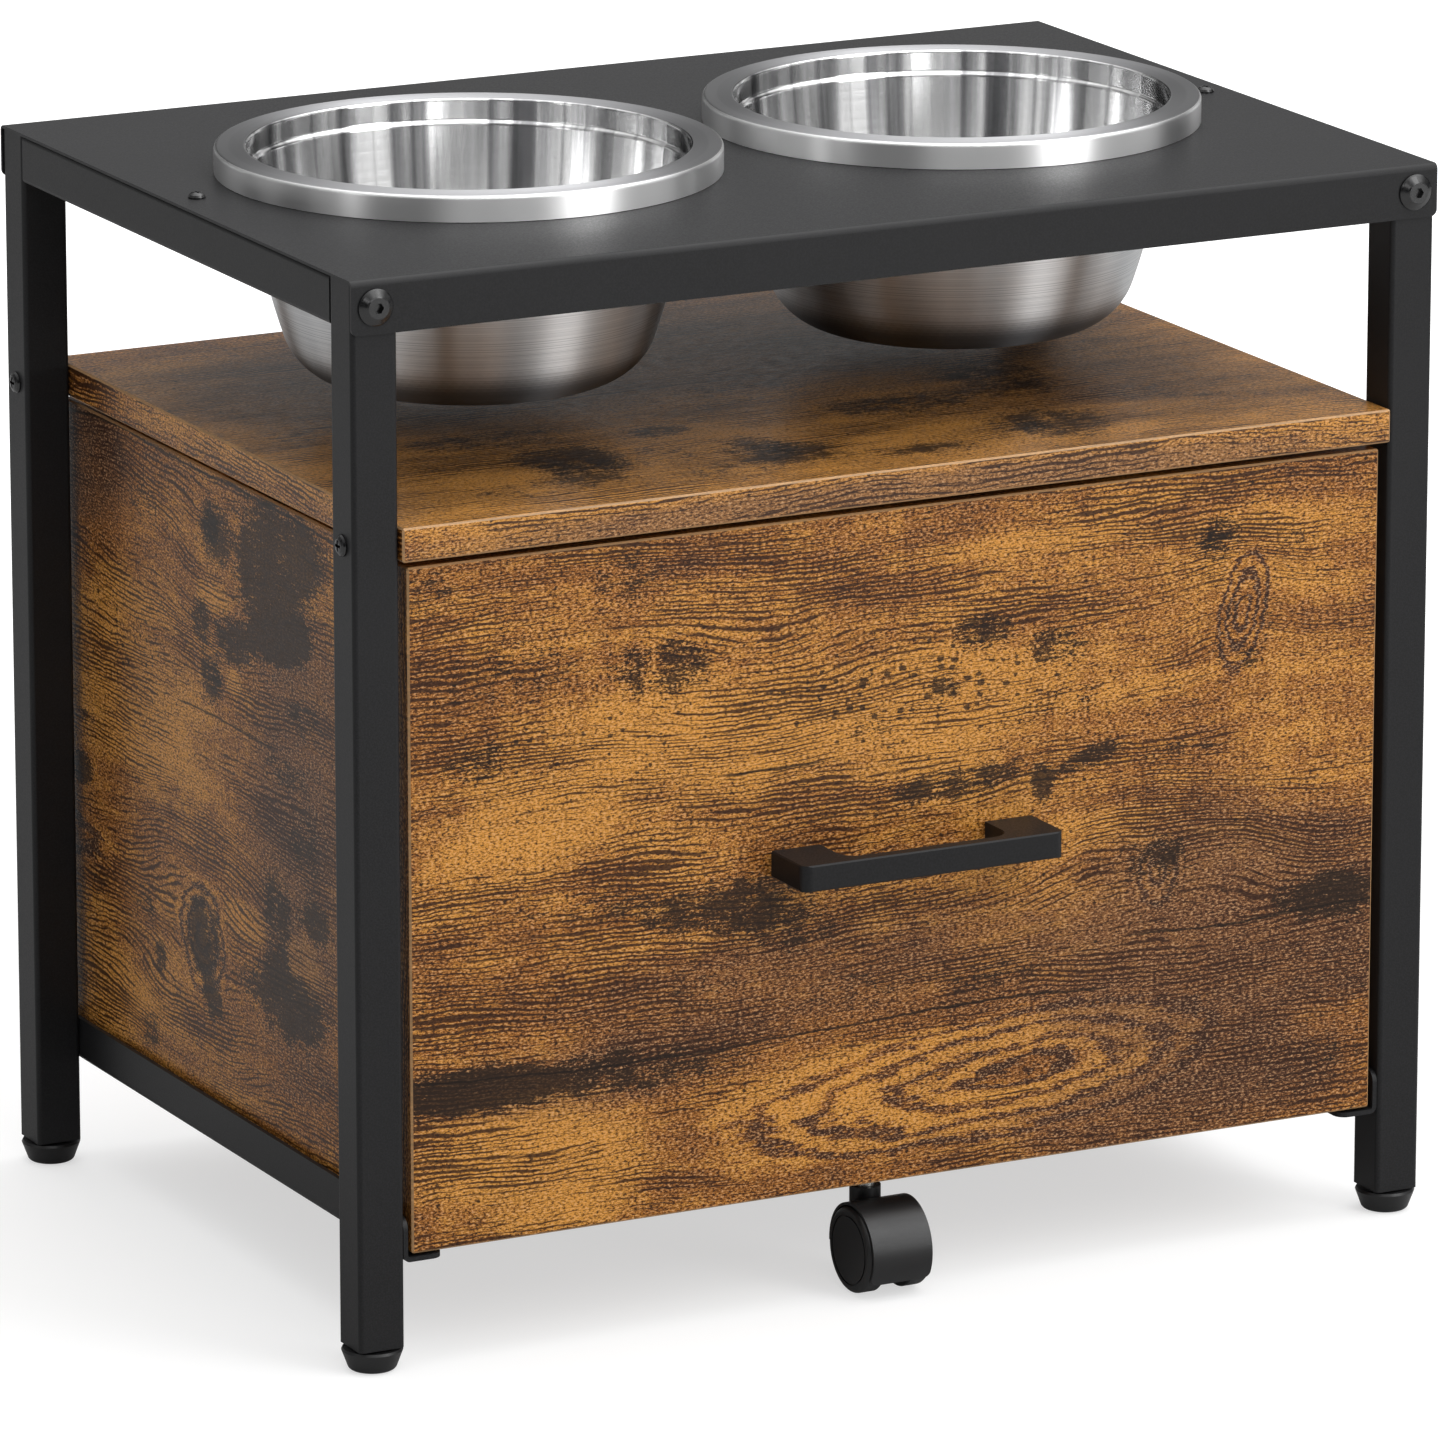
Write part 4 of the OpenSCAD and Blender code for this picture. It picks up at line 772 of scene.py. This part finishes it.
# %% Softboxes
def softbox(name, azimuth, elevation, distance, width, height, brightness, aim=(0, 0, 0.3)):
    """Azimuth is in degrees from the front, to the right."""
    a, e = math.radians(azimuth), math.radians(elevation)
    offset = Vector((math.sin(a) * math.cos(e), -math.cos(a) * math.cos(e), math.sin(e)))
    lamp = bpy.data.lights.new(name, "AREA")
    lamp.shape = "RECTANGLE"
    lamp.size, lamp.size_y = width, height
    lamp.energy = brightness * math.pi * width * height
    box = bpy.data.objects.new(name, lamp)
    bpy.context.scene.collection.objects.link(box)
    box.location = Vector(aim) + offset * distance
    box.rotation_euler = offset.to_track_quat("Z", "Y").to_euler()
    print(name, "power", round(lamp.energy, 1), "W")
    return box


#       name, azimuth, elevation, distance, width, height, brightness
softbox("overhead softbox", 0, 88, 1.7, 2.0, 1.4, 1.0)
softbox("key softbox", 28, 22, 2.4, 0.9, 2.4, 3.2)
softbox("fill softbox", -79, 10, 2.4, 0.3, 1.6, 1.2)
softbox("front softbox", -22, 27, 2.8, 1.7, 0.5, 1.9)

# %% [markdown]
# ## Camera
# The photograph was taken from the front left, a little above the top, with a long lens.
# Its verticals had been set upright afterwards. A level camera with a large shift could
# copy that, but it would push the feeder out of the frame in the other views, so the camera
# here looks straight at the feeder, without any shift.

# %% Camera
AIM = Vector((0.001, 0.0078, 0.2058))
AZIMUTH, ELEVATION, DISTANCE = math.radians(-27.2), math.radians(14.82), 4.504
camera_data = bpy.data.cameras.new("camera")
camera_data.sensor_width = 36.0
camera_data.lens = 269.4
camera_data.clip_end = 50.0
camera = bpy.data.objects.new("camera", camera_data)
bpy.context.scene.collection.objects.link(camera)
back = Vector((math.sin(AZIMUTH) * math.cos(ELEVATION),
               -math.cos(AZIMUTH) * math.cos(ELEVATION), math.sin(ELEVATION)))
camera.location = AIM + back * DISTANCE
camera.rotation_euler = back.to_track_quat("Z", "Y").to_euler()
bpy.context.scene.camera = camera
bpy.context.scene.view_settings.view_transform = "Standard"
print("camera at", [round(v, 3) for v in camera.location])
